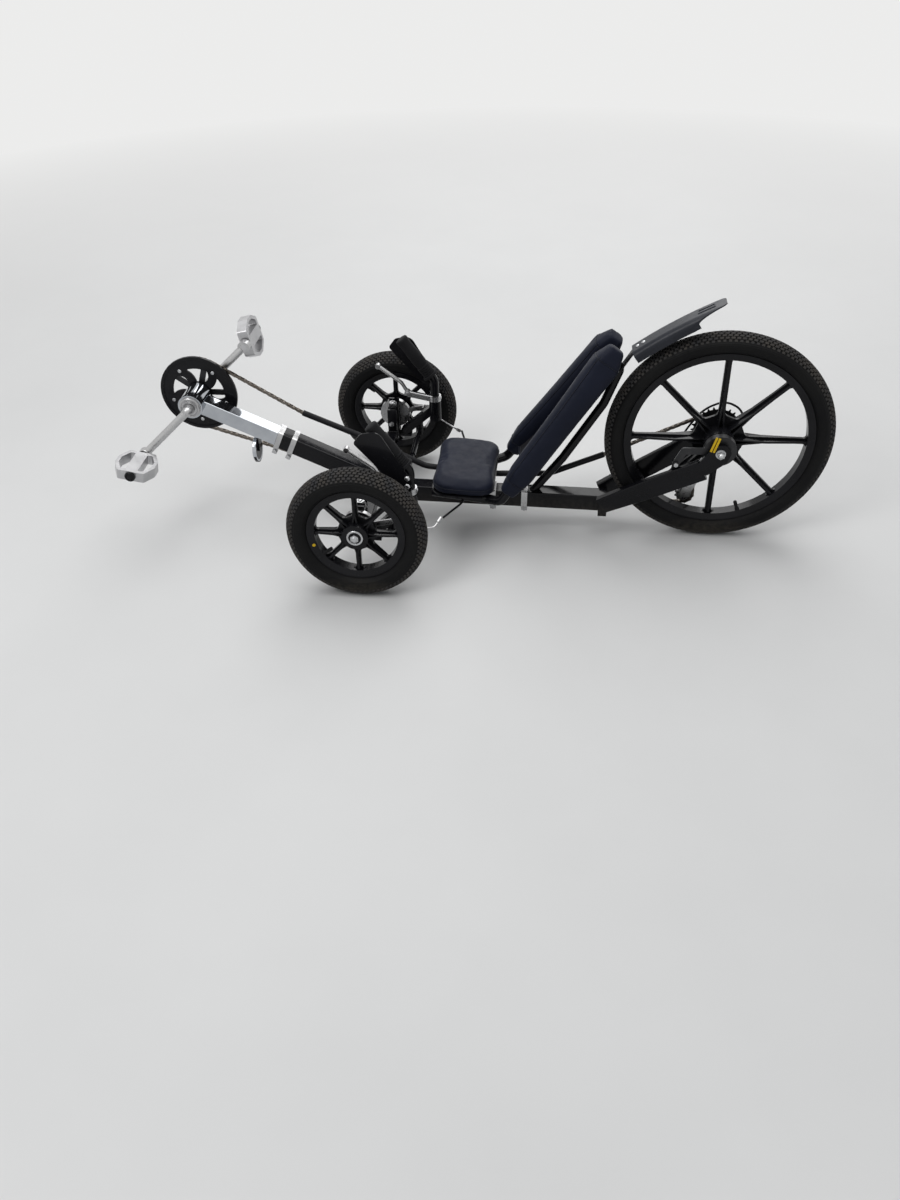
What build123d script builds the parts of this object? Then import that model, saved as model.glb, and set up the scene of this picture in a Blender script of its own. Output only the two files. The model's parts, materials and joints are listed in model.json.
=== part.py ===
"""Recumbent pedal trike with two steered front wheels and one driven rear wheel.

All lengths are millimetres. The trike faces -X, its left side is -Y and +Z is up.
Stations along X are written from the front axle line, and every piece is moved by ORIGIN_SHIFT
at the end, so that the stored origin lies on the ground under the middle of the bounding box.
"""
from build123d import *
from math import acos, atan2, ceil, cos, degrees, hypot, pi, radians, sin, sqrt, tan
import os

# Wheels
WHEELBASE = 779.0
TRACK = 582.0
CAMBER = 2.0
REAR_RADIUS = 253.0
REAR_TYRE_WIDTH = 50.0
REAR_BEAD_RADIUS = 203.0
FRONT_RADIUS = 155.0
FRONT_TYRE_WIDTH = 56.0
FRONT_BEAD_RADIUS = 101.5
RIM_FLANGE_HEIGHT = 6.5
RIM_DEPTH = 10.0
RIM_WIDTH = 34.0
RIM_LIP = 3.0
SPOKE_COUNT = 8
SPOKE_PLATE = 7.0
FIN_THICKNESS = 5.0
FORK_LEG_THICKNESS = 3.4
FORK_SHARE = 0.42
RUNNING_FIT = 0.05
SEAT_GAP = 0.3

# Boom, main tube and pedal crank
BB_X = -426.0
BB_Z = 308.0
BB_SHELL_RADIUS = 28.5
BB_SHELL_WIDTH = 68.0
BOOM_ANGLE = 24.6
BOOM_SIZE = 35.6
BOOM_WALL = 2.0
BOOM_OVERLAP = 90.0
MAIN_SIZE = 40.0
MAIN_WALL = 2.0
MAIN_FRONT_X = -238.0
MAIN_BEND_X = 54.5
MAIN_REAR_X = WHEELBASE - REAR_RADIUS - 3.0
MAIN_REAR_Z = 79.0
CLAMP_OFFSETS = (6.0, 37.0)
CLAMP_WIDTH = 12.0
CLAMP_EAR = 22.0
STRAP_STATIONS = (273.0, 348.0)
STRAP_WIDTH = 14.0
STRAP_EAR = 14.0
REFLECTOR_X = -288.0
REFLECTOR_RADIUS = 30.0
REFLECTOR_DROP = 42.0
YOKE_LENGTH = 20.0
YOKE_WIDTH = 84.0
YOKE_HEIGHT = 38.0
CRANK_LENGTH = 152.0
CRANK_ANGLE = 42.0
CRANK_AXLE_RADIUS = 11.0
CRANK_ARM_Y = 62.0
PEDAL_LENGTH = 92.0
PEDAL_WIDTH = 88.0
PEDAL_THICKNESS = 24.0
PEDAL_SPINDLE_RADIUS = 7.0
PEDAL_BARREL_RADIUS = 11.0
PEDAL_TILTS = {-1: 10.0, 1: 78.0}
PEDAL_Y = CRANK_ARM_Y + 74.0

# Drive
CHAIN_PITCH = 12.7
CHAIN_Y = 46.0
CHAIN_HEIGHT = 8.4
CHAIN_WIDTH = 6.8
CHAIN_OVERLAP = 2.0
TOOTH_ROOM = 2.0
RING_TEETH = 42
COG_TEETH = (28, 24, 21, 18, 16, 14)
DRIVEN_COG = 2
COG_SPACING = 5.0
GUARD_RADIUS = 92.0
GUARD_Y = 37.5
GUARD_RING_RADIUS = 62.0
GUARD_HUB_RADIUS = 24.0
GUARD_ARM_WIDTH = 20.0
GUARD_ARMS = 5
TUBE_RADIUS = 7.0
TUBE_BORE = 6.0
TUBE_BEND = 60.0
JOCKEY_RADIUS = 22.0
UPPER_JOCKEY = (WHEELBASE - 15.0, REAR_RADIUS - 81.0)
LOWER_JOCKEY = (WHEELBASE - 55.0, REAR_RADIUS - 177.0)
# Guide tube routes as X and Z of each bend
UPPER_ROUTE = ((-183, 260), (-18, 190), (105, 127), (262, 112), (403, 118),
               (WHEELBASE - 249, REAR_RADIUS - 78))
LOWER_ROUTE = ((-200, 146), (-20, 84), (130, 60), (WHEELBASE - 219, 47))

# Steering
KINGPIN_Y = TRACK / 2 - 59.0
KINGPIN_Z = 146.0
KINGPIN_TUBE_RADIUS = 15.0
KINGPIN_TUBE_LENGTH = 68.0
KINGPIN_RADIUS = 6.0
END_PLATE_GAP = 20.0
LUG_GAP = 2.0
LUG_THICKNESS = 6.0
LUG_WIDTH = 26.0
STUB_RADIUS = 8.0
CROSS_SIZE = 25.0
CROSS_Z = 116.0
STEER_ARM = 66.0
TIE_ROD_Z = 124.0
TIE_ROD_RADIUS = 5.0
BAR_RADIUS = 11.0
GRIP_RADIUS = 15.5
GRIP_LENGTH = 118.0
BAR_X = 110.0
BAR_Y = KINGPIN_Y - 14.0
BAR_BEND = 30.0
BAR_ROUTE = ((BAR_X, BAR_Y, 168), (BAR_X, BAR_Y, 270), (34, BAR_Y, 373))
GUARD_PLATE_Y = BAR_Y + 20.0
GUARD_PLATE_THICKNESS = 3.0
# Corners of the hand guard as X, Z and the radius there
GUARD_CORNERS = ((-3, 344, 8), (14, 366, 12), (52, 374, 24), (118, 256, 10), (116, 230, 8), (92, 234, 12))
# Heights of the two bolts that hold the hand guard to the bar
GUARD_BOLTS = (244.0, 263.0)
GUARD_BOLT_RADIUS = 5.5
LEVER_CLAMP_Z = 222.0
LEVER_Y = BAR_Y - 13.0

# Seat
RAIL_RADIUS = 11.0
PAD_LENGTH = 150.0
PAD_WIDTH = 238.0
PAD_THICKNESS = 30.0
PAD_TILT = 4.0
PAD_X = 211.0
PAD_TOP_Z = 173.0
PAD_CORNER = 42.0
PAN_THICKNESS = 4.0
# Corner cut off the pan where a rail rises: place along and across, length, width
PAN_CUT = (62.0, 98.0, 36.0, 48.0)
WING_BOTTOM = (310.0, 100.0, 146.0)
WING_TOP = (WHEELBASE - 238.0, 34.0, 479.0)
# Sections of a bolster: share of its length, depth, width, step forward
WING_SECTIONS = ((0.0, 40, 36, 0), (0.14, 60, 52, 0), (0.55, 58, 54, 0), (0.9, 68, 58, 0), (1.0, 40, 38, 0))
WING_CORNER = 14.0
# Sections of the sling: share of the bolster's length, bow backwards
SLING_SECTIONS = ((0.08, 10.0), (0.35, 22.0), (0.7, 16.0), (0.86, 8.0))
BRACE_RADIUS = 10.0
BRACE_ROUTE = ((352, 0, 76), (434, 0, 188), (WHEELBASE - 259, 0, 331), (WHEELBASE - 228, 0, 416),
               (WHEELBASE - 261, 0, 455))
BRACE_BENDS = (60.0, 60.0, 16.0)

# Mudguard: points of its crown as X and Z, and its section
MUDGUARD_CROWN = ((WHEELBASE - 207, REAR_RADIUS + 208), (WHEELBASE - 129, REAR_RADIUS + 262),
                  (WHEELBASE - 22, REAR_RADIUS + 320))
MUDGUARD_WIDTH = 58.0
MUDGUARD_DEPTH = 24.0
MUDGUARD_WALL = 2.2
MUDGUARD_TAIL = 34.0

# Cables as X, Y and Z of each bend
CABLE_RADIUS = 2.5
FRONT_CABLE = ((216, 23, 92), (212, 62, 106), (205, 105, 117), (194, 150, 131), (177.9, 198.9, 141))
NOODLE_ROUTE = ((172, 200, 141), (160, 226, 132), (122, 253, 141), (72.4, 260, 170.4))
NOODLE_RADIUS = 3.0
GEAR_CABLE = ((668, 66.5, 166), (702, 74, 200), (724, 80, 243), (752, 82, 282), (796, 82, 304),
              (838, 82, 283), (846, 82, 238), (812, 82, 208))

REAR_AXLE_RADIUS = 5.0
DROPOUT_Y = 67.5
DROPOUT_THICKNESS = 6.0

REAR_TIP_X = WHEELBASE + REAR_RADIUS
FRONT_TIP_X = BB_X - CRANK_LENGTH * cos(radians(CRANK_ANGLE)) - PEDAL_LENGTH / 2
ORIGIN_SHIFT = -(REAR_TIP_X + FRONT_TIP_X) / 2

PARTS = {}


def keep(name, shape):
    """Store a finished piece under its node name, moved to the trike's origin."""
    PARTS[name] = Location((ORIGIN_SHIFT, 0, 0)) * shape


def placed(name):
    """A stored piece at its place along the front axle's stations."""
    return Location((-ORIGIN_SHIFT, 0, 0)) * PARTS[name]


def together(*shapes):
    """Several solids that stay apart, kept as one piece."""
    return Compound([solid for shape in shapes for solid in shape.solids()])


def mirrored(shape):
    """The same piece on the other side of the trike."""
    return mirror(shape, about=Plane.XZ)


def rod(start, end, radius):
    """Straight round bar between two points."""
    axis = Vector(*end) - Vector(*start)
    plane = Plane(origin=start, z_dir=axis)
    return extrude(plane * Circle(radius), amount=axis.length)


def beam(start, end, width, height, wall=0.0, corner=2.0):
    """Straight box section in a plane of constant Y, with width along Y."""
    axis = Vector(*end) - Vector(*start)
    plane = Plane(origin=start, x_dir=(0, 1, 0), z_dir=axis)
    section = RectangleRounded(width, height, corner)
    if wall:
        section -= RectangleRounded(width - 2 * wall, height - 2 * wall, max(corner - wall, 0.5))
    return extrude(plane * section, amount=axis.length)


def bent_tube(points, radii, radius, bore=0.0):
    """Round tube through points with a tangent arc at each inner one."""
    path = FilletPolyline(*points, radius=radii)
    section = Circle(radius)
    if bore:
        section -= Circle(bore)
    plane = Plane(origin=path @ 0, z_dir=path % 0)
    return sweep(plane * section, path=path)


def cable(points, radius):
    """Cable through points, each arc as large as the runs beside it allow."""
    corners = [Vector(*point) for point in points]
    radii = []
    for before, here, after in zip(corners, corners[1:], corners[2:]):
        first, second = here - before, after - here
        half_turn = radians(first.get_angle(second)) / 2
        radii.append(0.45 * min(first.length, second.length) / tan(half_turn))
    print("cable radii", [round(value) for value in radii])
    return bent_tube(points, radii, radius)


def main_tube_z(x):
    """Height of the main tube's centre line at a station."""
    if x < MAIN_BEND_X:
        return BB_Z - (x - BB_X) * tan(radians(BOOM_ANGLE))
    slope = (MAIN_REAR_Z - bend_z()) / (MAIN_REAR_X - MAIN_BEND_X)
    return bend_z() + (x - MAIN_BEND_X) * slope


def bend_z():
    """Height of the main tube's bend."""
    return BB_Z - (MAIN_BEND_X - BB_X) * tan(radians(BOOM_ANGLE))


def wheel_location(x, y, z, side, camber=0.0):
    """Place a wheel built about local Z, whose outboard side is local +Z."""
    normal = (0, side * cos(radians(camber)), sin(radians(camber)))
    return Plane(origin=(x, y, z), x_dir=(1, 0, 0), z_dir=normal).location


def window(inner, outer, gap_inner, gap_outer, corner_inner, corner_outer):
    """One rounded opening between two neighbouring spokes, on the +X axis."""
    half = pi / SPOKE_COUNT
    reach_inner = inner * cos(half)
    side = inner * sin(half) - gap_inner / 2 / cos(half)
    top = outer * sin(half) - gap_outer / 2
    edge_x = sqrt(outer ** 2 - top ** 2)
    low = (reach_inner, max(side, 1.0))
    high = (edge_x, top)
    outline = Polyline((low[0], -low[1]), (high[0], -high[1]))
    arc = ThreePointArc((high[0], -high[1]), (outer, 0), (high[0], high[1]))
    back = Polyline((high[0], high[1]), (low[0], low[1]), (low[0], -low[1]))
    face = make_face(outline + arc + back)
    inner_corners = face.vertices().sort_by(Axis.X)[:2]
    outer_corners = face.vertices().sort_by(Axis.X)[-2:]
    face = fillet(outer_corners, corner_outer)
    inner_corners = face.vertices().sort_by(Axis.X)[:2]
    return fillet(inner_corners, min(corner_inner, low[1] * 0.9))


def spoke_rib(hub_radius, rim_inner, spoke_hub):
    """Upright rib of a spoke on the +X axis, split into two legs that spread to the hub."""
    fork = hub_radius + (rim_inner - hub_radius) * FORK_SHARE
    spread = spoke_hub / 2 - 1
    rib = trace(Line((fork - 3, 0), (rim_inner + 2, 0)), FIN_THICKNESS)
    for side in (-1, 1):
        rib += trace(Line((fork, 0), (hub_radius - 3, side * spread)), FORK_LEG_THICKNESS)
    return extrude(rib, amount=2 * RIM_WIDTH, both=True)


def mag_wheel(bead, hub_radius, hub_inner, hub_outer, bore, fin_hub, spoke_hub, spoke_rim, window_inner):
    """Moulded wheel about local Z: channel rim, eight finned spokes and hub barrel."""
    inner = bead - RIM_DEPTH
    flange = bead + RIM_FLANGE_HEIGHT
    half = RIM_WIDTH / 2
    profile = Polyline(
        (inner, -half + 4), (flange - 3, -half), (flange, -half), (flange, -half + RIM_LIP),
        (bead, -half + RIM_LIP + 1), (bead, half - RIM_LIP - 1), (flange, half - RIM_LIP),
        (flange, half), (flange - 3, half), (inner, half - 4), close=True)
    rim = revolve(Plane.XZ * make_face(profile), axis=Axis.Z)
    opening = window(window_inner, inner - 0.01, spoke_hub, spoke_rim, 12.0, 8.0)
    pitch = 360.0 / SPOKE_COUNT
    plate = Circle(inner + 2)
    for i in range(SPOKE_COUNT):
        plate -= Rot(0, 0, (i + 0.5) * pitch) * opening
    web = extrude(plate, amount=SPOKE_PLATE / 2, both=True)
    fin_rim = RIM_WIDTH / 2 - 7
    fin_outline = Polyline((hub_radius - 2, -fin_hub), (inner + 2, -fin_rim), (inner + 2, fin_rim),
                           (hub_radius - 2, fin_hub), close=True)
    fin = revolve(Plane.XZ * make_face(fin_outline), axis=Axis.Z) & spoke_rib(hub_radius, inner, spoke_hub)
    barrel = Pos(0, 0, (hub_outer + hub_inner) / 2) * Cylinder(hub_radius, hub_outer - hub_inner)
    wheel = web + barrel
    for i in range(SPOKE_COUNT):
        wheel += Rot(0, 0, i * pitch) * fin
    wheel += rim
    return wheel - Cylinder(bore, 4 * RIM_WIDTH)


def tyre(radius, bead, width):
    """Tyre body about local Z, seated between the rim flanges."""
    flange = bead + RIM_FLANGE_HEIGHT
    seat = RIM_WIDTH / 2 - RIM_LIP - 1
    lip = RIM_WIDTH / 2 - RIM_LIP
    half = width / 2
    belly = (radius + bead) / 2 + 3
    shoulder = radius - 9
    outline = Polyline((bead, seat), (bead, -seat), (flange, -lip))
    left = ThreePointArc((flange, -lip), (belly, -half), (shoulder, -half + 9))
    crown = ThreePointArc((shoulder, -half + 9), (radius, 0), (shoulder, half - 9))
    right = ThreePointArc((shoulder, half - 9), (belly, half), (flange, lip))
    close = Polyline((flange, lip), (bead, seat))
    face = make_face(outline + left + crown + right + close)
    return revolve(Plane.XZ * face, axis=Axis.Z)


def toothed_disc(teeth, thickness, tooth_height, bore):
    """Sprocket about local Z with pointed teeth."""
    pitch_radius = CHAIN_PITCH / 2 / sin(pi / teeth)
    root = pitch_radius - tooth_height
    tip = pitch_radius + 1.5
    points = []
    for i in range(teeth):
        base = 2 * pi * i / teeth
        for share, radius in ((-0.25, root), (-0.07, tip), (0.07, tip), (0.25, root)):
            angle = base + share * 2 * pi / teeth
            points.append((radius * cos(angle), radius * sin(angle)))
    face = make_face(Polyline(*points, close=True)) - Circle(bore)
    return extrude(face, amount=thickness / 2, both=True)


def sprocket_radius(teeth):
    """Pitch radius of a sprocket."""
    return CHAIN_PITCH / 2 / sin(pi / teeth)


def build_frame():
    """Boom, main tube, cross member, rear fork and their clamps."""
    slope = tan(radians(BOOM_ANGLE))
    boom_start = (BB_X + BB_SHELL_RADIUS - 6, 0, BB_Z - (BB_SHELL_RADIUS - 6) * slope)
    boom_end_x = MAIN_FRONT_X + BOOM_OVERLAP * cos(radians(BOOM_ANGLE))
    boom_end = (boom_end_x, 0, main_tube_z(boom_end_x))
    boom = beam(boom_start, boom_end, BOOM_SIZE, BOOM_SIZE, BOOM_WALL)
    shell = Pos(BB_X, 0, BB_Z) * Rot(90, 0, 0) * Cylinder(BB_SHELL_RADIUS, BB_SHELL_WIDTH)
    hollow = Pos(BB_X, 0, BB_Z) * Rot(90, 0, 0) * Cylinder(BB_SHELL_RADIUS - 3, BB_SHELL_WIDTH + 2)
    keep("boom", boom + shell - hollow)

    cups = []
    for side in (-1, 1):
        face_y = side * BB_SHELL_WIDTH / 2
        cup = rod((BB_X, face_y - side * 8, BB_Z), (BB_X, face_y, BB_Z), BB_SHELL_RADIUS - 3)
        cup += rod((BB_X, face_y, BB_Z), (BB_X, face_y + side * 3, BB_Z), BB_SHELL_RADIUS - 4)
        bore = rod((BB_X, face_y - side * 10, BB_Z), (BB_X, face_y + side * 5, BB_Z),
                   CRANK_AXLE_RADIUS + RUNNING_FIT)
        cups.append(cup - bore)
    keep("bearing_cups", together(*cups))

    keep("main_tube", main_tube(MAIN_WALL))

    bands = []
    for offset in CLAMP_OFFSETS:
        x = MAIN_FRONT_X + offset
        bands.append(tube_band((x, 0, main_tube_z(x)), BOOM_ANGLE, CLAMP_WIDTH, CLAMP_EAR))
    keep("boom_clamps", together(*bands))

    keep("cross_member", cross_member())
    keep("rear_fork", rear_fork())
    keep("rear_axle", rear_axle())
    keep("front_reflector", front_reflector())


def main_tube(wall):
    """Main tube, hollow with a wall or solid without one."""
    front = (MAIN_FRONT_X, 0, main_tube_z(MAIN_FRONT_X))
    bend = (MAIN_BEND_X, 0, bend_z())
    rear = (MAIN_REAR_X, 0, MAIN_REAR_Z)
    path = FilletPolyline(front, bend, rear, radius=60)
    section = RectangleRounded(MAIN_SIZE, MAIN_SIZE, 3)
    if wall:
        section -= RectangleRounded(MAIN_SIZE - 2 * wall, MAIN_SIZE - 2 * wall, 1)
    start = Plane(origin=front, x_dir=(0, 1, 0), z_dir=path % 0)
    return sweep(start * section, path=path)


def tube_band(centre, pitch, width, ear):
    """Flat strap round the main tube with two ears and a bolt below it."""
    inner = MAIN_SIZE / 2 + SEAT_GAP
    outer = inner + 2.5
    outline = RectangleRounded(2 * outer, 2 * outer, 4) - RectangleRounded(2 * inner, 2 * inner, 2)
    outline -= Pos(0, -outer) * Rectangle(5, 8)
    ears = Pos(0, -outer - ear / 2) * (Rectangle(10, ear + 4) - Rectangle(5, ear + 6))
    plane = Plane(origin=centre, x_dir=(0, 1, 0), z_dir=(cos(radians(pitch)), 0, -sin(radians(pitch))))
    strap = extrude(plane * (outline + ears), amount=width / 2, both=True)
    down = plane.from_local_coords(Vector(0, -outer - ear + 5, 0))
    bolt = rod((down.X, -10, down.Z), (down.X, 10, down.Z), 3.0)
    return strap + bolt


def cross_member():
    """Cross tube with an end plate and a bored kingpin tube on each side."""
    plate_y = KINGPIN_Y - END_PLATE_GAP
    wall = CROSS_SIZE - 4
    tube = RectangleRounded(CROSS_SIZE, CROSS_SIZE, 2) - RectangleRounded(wall, wall, 1)
    start = Plane(origin=(0, MAIN_SIZE / 2, CROSS_Z), x_dir=(1, 0, 0), z_dir=(0, 1, 0))
    arm = extrude(start * tube, amount=plate_y - 5 - MAIN_SIZE / 2)
    plate = Pos(0, plate_y - 2.5, KINGPIN_Z - 1) * Box(LUG_WIDTH - 4, 5, 88)
    pin_tube = Pos(0, KINGPIN_Y, KINGPIN_Z + 2) * Cylinder(KINGPIN_TUBE_RADIUS, KINGPIN_TUBE_LENGTH)
    bridge = Pos(0, plate_y + 4, KINGPIN_Z + 2) * Box(14, 8, 56)
    bore = Pos(0, KINGPIN_Y, KINGPIN_Z) * Cylinder(KINGPIN_RADIUS, KINGPIN_TUBE_LENGTH + 30)
    bolt = rod((0, plate_y - 11, KINGPIN_Z + 8), (0, plate_y - 5, KINGPIN_Z + 8), 8.0)
    right = arm + plate + pin_tube + bridge + bolt - bore
    return together(right, mirrored(right))


def rear_fork():
    """Yoke, deep plate-sided chainstays and dropout plates."""
    body = Pos(MAIN_REAR_X + 9, 0, MAIN_REAR_Z - 1) * Box(YOKE_LENGTH, YOKE_WIDTH, YOKE_HEIGHT) - main_tube(0)
    for side in (-1, 1):
        low = Vector(MAIN_REAR_X + 4, side * 34, MAIN_REAR_Z + 6)
        high = Vector(WHEELBASE - 34, side * (DROPOUT_Y + 0.5), REAR_RADIUS - 44)
        middle = low + (high - low) * 0.45
        axis = high - low
        width_dir = Vector(0, 1, 0)
        # Places along the stay, with its width and depth there
        stations = ((low, 20, 40), (middle, 15, 50), (high, 11, 52))
        sections = [Plane(origin=place, x_dir=width_dir, z_dir=axis) * RectangleRounded(width, depth, 3)
                    for place, width, depth in stations]
        stay = loft(sections, ruled=True)
        outline = Polyline((-52, -36), (-14, 20), (12, 20), (24, 2), (16, -22), (-26, -58), close=True)
        plate = fillet(make_face(outline).vertices(), 8)
        inner_y = DROPOUT_Y if side > 0 else -DROPOUT_Y - DROPOUT_THICKNESS
        place = Plane(origin=(WHEELBASE, inner_y, REAR_RADIUS), x_dir=(1, 0, 0), z_dir=(0, -1, 0))
        dropout = extrude(place * plate, amount=-DROPOUT_THICKNESS)
        body += stay + dropout
        if side < 0:
            body += Pos(WHEELBASE - 93, -57, REAR_RADIUS - 44) * Box(16, 3.4, 36)
    bore = Pos(WHEELBASE, 0, REAR_RADIUS) * Rot(90, 0, 0) * Cylinder(REAR_AXLE_RADIUS + RUNNING_FIT, 200)
    return body - bore


def rear_axle():
    """Axle with a domed nut outside each dropout."""
    outer = DROPOUT_Y + DROPOUT_THICKNESS
    axle = rod((WHEELBASE, -outer - 12, REAR_RADIUS), (WHEELBASE, outer + 12, REAR_RADIUS), REAR_AXLE_RADIUS)
    for side in (-1, 1):
        place = Plane(origin=(WHEELBASE, side * (outer + SEAT_GAP), REAR_RADIUS), z_dir=(0, side, 0))
        washer = extrude(place * Circle(11), amount=2)
        nut = extrude(place * RegularPolygon(9, 6), amount=10)
        axle += washer + nut
    return axle


def front_reflector():
    """Round reflector hung on a tab below the boom."""
    top_z = main_tube_z(REFLECTOR_X) - BOOM_SIZE / 2 / cos(radians(BOOM_ANGLE))
    disc_z = top_z - REFLECTOR_DROP
    plane = Plane(origin=(REFLECTOR_X, 0, disc_z), z_dir=(-1, 0, 0))
    disc = extrude(plane * Circle(REFLECTOR_RADIUS), amount=6)
    tab = Pos(REFLECTOR_X + 2, 0, (disc_z + top_z) / 2 + 6) * Box(4, 16, top_z - disc_z + 12)
    tab -= beam((BB_X, 0, BB_Z), (MAIN_FRONT_X, 0, main_tube_z(MAIN_FRONT_X)),
                BOOM_SIZE + 2 * SEAT_GAP, BOOM_SIZE + 2 * SEAT_GAP)
    tab = tab.solids().sort_by(Axis.Z)[0]
    return disc + tab


def build_crank():
    """One-piece crank, chainring, guard disc and pedals."""
    angle = radians(CRANK_ANGLE)
    ends = {-1: (BB_X - CRANK_LENGTH * cos(angle), BB_Z - CRANK_LENGTH * sin(angle)),
            1: (BB_X + CRANK_LENGTH * cos(angle), BB_Z + CRANK_LENGTH * sin(angle))}
    crank = rod((BB_X, -CRANK_ARM_Y + 8, BB_Z), (BB_X, CRANK_ARM_Y - 4, BB_Z), CRANK_AXLE_RADIUS)
    for side, (x, z) in ends.items():
        inner_y = side * (CRANK_ARM_Y - 6)
        outer_y = side * (CRANK_ARM_Y + 18)
        arm = rod((BB_X, inner_y, BB_Z), (x, outer_y, z), 9.0)
        boss = rod((x, outer_y - side * 9, z), (x, outer_y + side * 9, z), 14.0)
        elbow = Pos(BB_X, inner_y, BB_Z) * Sphere(CRANK_AXLE_RADIUS)
        bore = rod((x, outer_y - side * 12, z), (x, outer_y + side * 12, z), PEDAL_SPINDLE_RADIUS + RUNNING_FIT)
        crank += arm + boss + elbow
        crank -= bore
    keep("crank", crank)

    ring_place = Plane(origin=(BB_X, CHAIN_Y, BB_Z), x_dir=(1, 0, 0), z_dir=(0, 1, 0)).location
    pitch_radius = sprocket_radius(RING_TEETH)
    ring = toothed_disc(RING_TEETH, 2.4, 4.2, pitch_radius - 16)
    spider = Circle(26) - Circle(CRANK_AXLE_RADIUS + RUNNING_FIT)
    for i in range(5):
        spider += Rot(0, 0, i * 72) * Pos(pitch_radius / 2, 0) * Rectangle(pitch_radius - 24, 14)
    spider = extrude(spider, amount=1.2, both=True)
    keep("chainring", ring_place * (ring + spider))

    guard_place = Plane(origin=(BB_X, GUARD_Y, BB_Z), x_dir=(1, 0, 0), z_dir=(0, 1, 0)).location
    guard = Circle(GUARD_RADIUS) - Circle(GUARD_RING_RADIUS)
    guard += Circle(GUARD_HUB_RADIUS)
    for i in range(GUARD_ARMS):
        arm = curved_arm(GUARD_HUB_RADIUS - 4, GUARD_RING_RADIUS + 6, GUARD_ARM_WIDTH)
        guard += Rot(0, 0, i * 360 / GUARD_ARMS + 20) * arm
    guard -= Circle(CRANK_AXLE_RADIUS + RUNNING_FIT)
    disc = extrude(guard, amount=4)
    rim = extrude(Circle(GUARD_RADIUS) - Circle(GUARD_RADIUS - 7), amount=-2)
    keep("guard_disc", guard_place * (disc + rim))

    for side, name in ((-1, "left"), (1, "right")):
        x, z = ends[side]
        keep(f"pedal_{name}", pedal(x, z, side))


def curved_arm(inner, outer, width):
    """Swept arm of the guard disc from its hub to its ring."""
    start, middle, end = (inner, 0), ((inner + outer) / 2, 9), (outer, -6)
    return trace(ThreePointArc(start, middle, end), width)


def pedal(x, z, side):
    """Cage platform with pointed ends, two windows and a middle barrel, on its spindle."""
    inner_y = side * (PEDAL_Y - PEDAL_WIDTH / 2)
    length, width = PEDAL_LENGTH / 2, PEDAL_WIDTH / 2
    outline = Polyline((-length, -0.3 * width), (-0.66 * length, -width), (0.66 * length, -width),
                       (length, -0.3 * width), (length, 0.3 * width), (0.66 * length, width),
                       (-0.66 * length, width), (-length, 0.3 * width), close=True)
    outline = fillet(make_face(outline).vertices(), 6)
    body = extrude(outline, amount=PEDAL_THICKNESS / 2, both=True)
    for end in (-1, 1):
        opening = Polyline((end * 14, -width + 9), (end * 25, -width + 9), (end * 38, -0.25 * width),
                           (end * 38, 0.25 * width), (end * 25, width - 9), (end * 14, width - 9), close=True)
        opening = fillet(make_face(opening).vertices(), 3)
        body -= extrude(opening, amount=PEDAL_THICKNESS, both=True)
    body += Rot(90, 0, 0) * Cylinder(PEDAL_BARREL_RADIUS, PEDAL_WIDTH - 2)
    body = Pos(x, side * PEDAL_Y, z) * Rot(0, PEDAL_TILTS[side], 0) * body
    spindle = rod((x, side * (CRANK_ARM_Y + 9.5), z), (x, inner_y + side * 4, z), PEDAL_SPINDLE_RADIUS)
    return body + spindle


def tangent(first, first_radius, second, second_radius, first_turn, second_turn):
    """Points where a belt leaves one pulley and meets the next, each turning +1 or -1."""
    dx, dz = second[0] - first[0], second[1] - first[1]
    distance = hypot(dx, dz)
    offset = first_turn * first_radius - second_turn * second_radius
    angle = atan2(dz, dx) + acos(offset / distance)
    nx, nz = cos(angle), sin(angle)
    leave = (first[0] + first_turn * first_radius * nx, first[1] + first_turn * first_radius * nz)
    meet = (second[0] + second_turn * second_radius * nx, second[1] + second_turn * second_radius * nz)
    return leave, meet


def chain_wrap(centre, radius, start, end, grooved, clockwise):
    """Chain round a sprocket, open at its inside where teeth pass."""
    a0 = atan2(start[1] - centre[1], start[0] - centre[0])
    a1 = atan2(end[1] - centre[1], end[0] - centre[0])
    if clockwise and a1 > a0:
        a1 -= 2 * pi
    if not clockwise and a1 < a0:
        a1 += 2 * pi
    inner, outer = radius - CHAIN_HEIGHT / 2, radius + CHAIN_HEIGHT / 2
    half = CHAIN_WIDTH / 2
    if grooved:
        web = radius + TOOTH_ROOM
        points = ((inner, -half), (outer, -half), (outer, half), (inner, half), (inner, half - 1.3),
                  (web, half - 1.3), (web, -half + 1.3), (inner, -half + 1.3))
    else:
        points = ((inner, -half), (outer, -half), (outer, half), (inner, half))
    plane = Plane(origin=(centre[0], CHAIN_Y, centre[1]), x_dir=(cos(a0), 0, sin(a0)), z_dir=(0, 0, 1))
    radial = Plane(origin=(centre[0], CHAIN_Y, centre[1]), x_dir=(cos(a0), 0, sin(a0)),
                   z_dir=Vector(cos(a0), 0, sin(a0)).cross(Vector(0, 1, 0)))
    face = radial * make_face(Polyline(*points, close=True))
    spin = Axis((centre[0], CHAIN_Y, centre[1]), (0, -1, 0))
    sweep_angle = degrees(a1 - a0)
    if sweep_angle < 0:
        spin = Axis((centre[0], CHAIN_Y, centre[1]), (0, 1, 0))
        sweep_angle = -sweep_angle
    return revolve(face, axis=spin, revolution_arc=sweep_angle)


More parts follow.
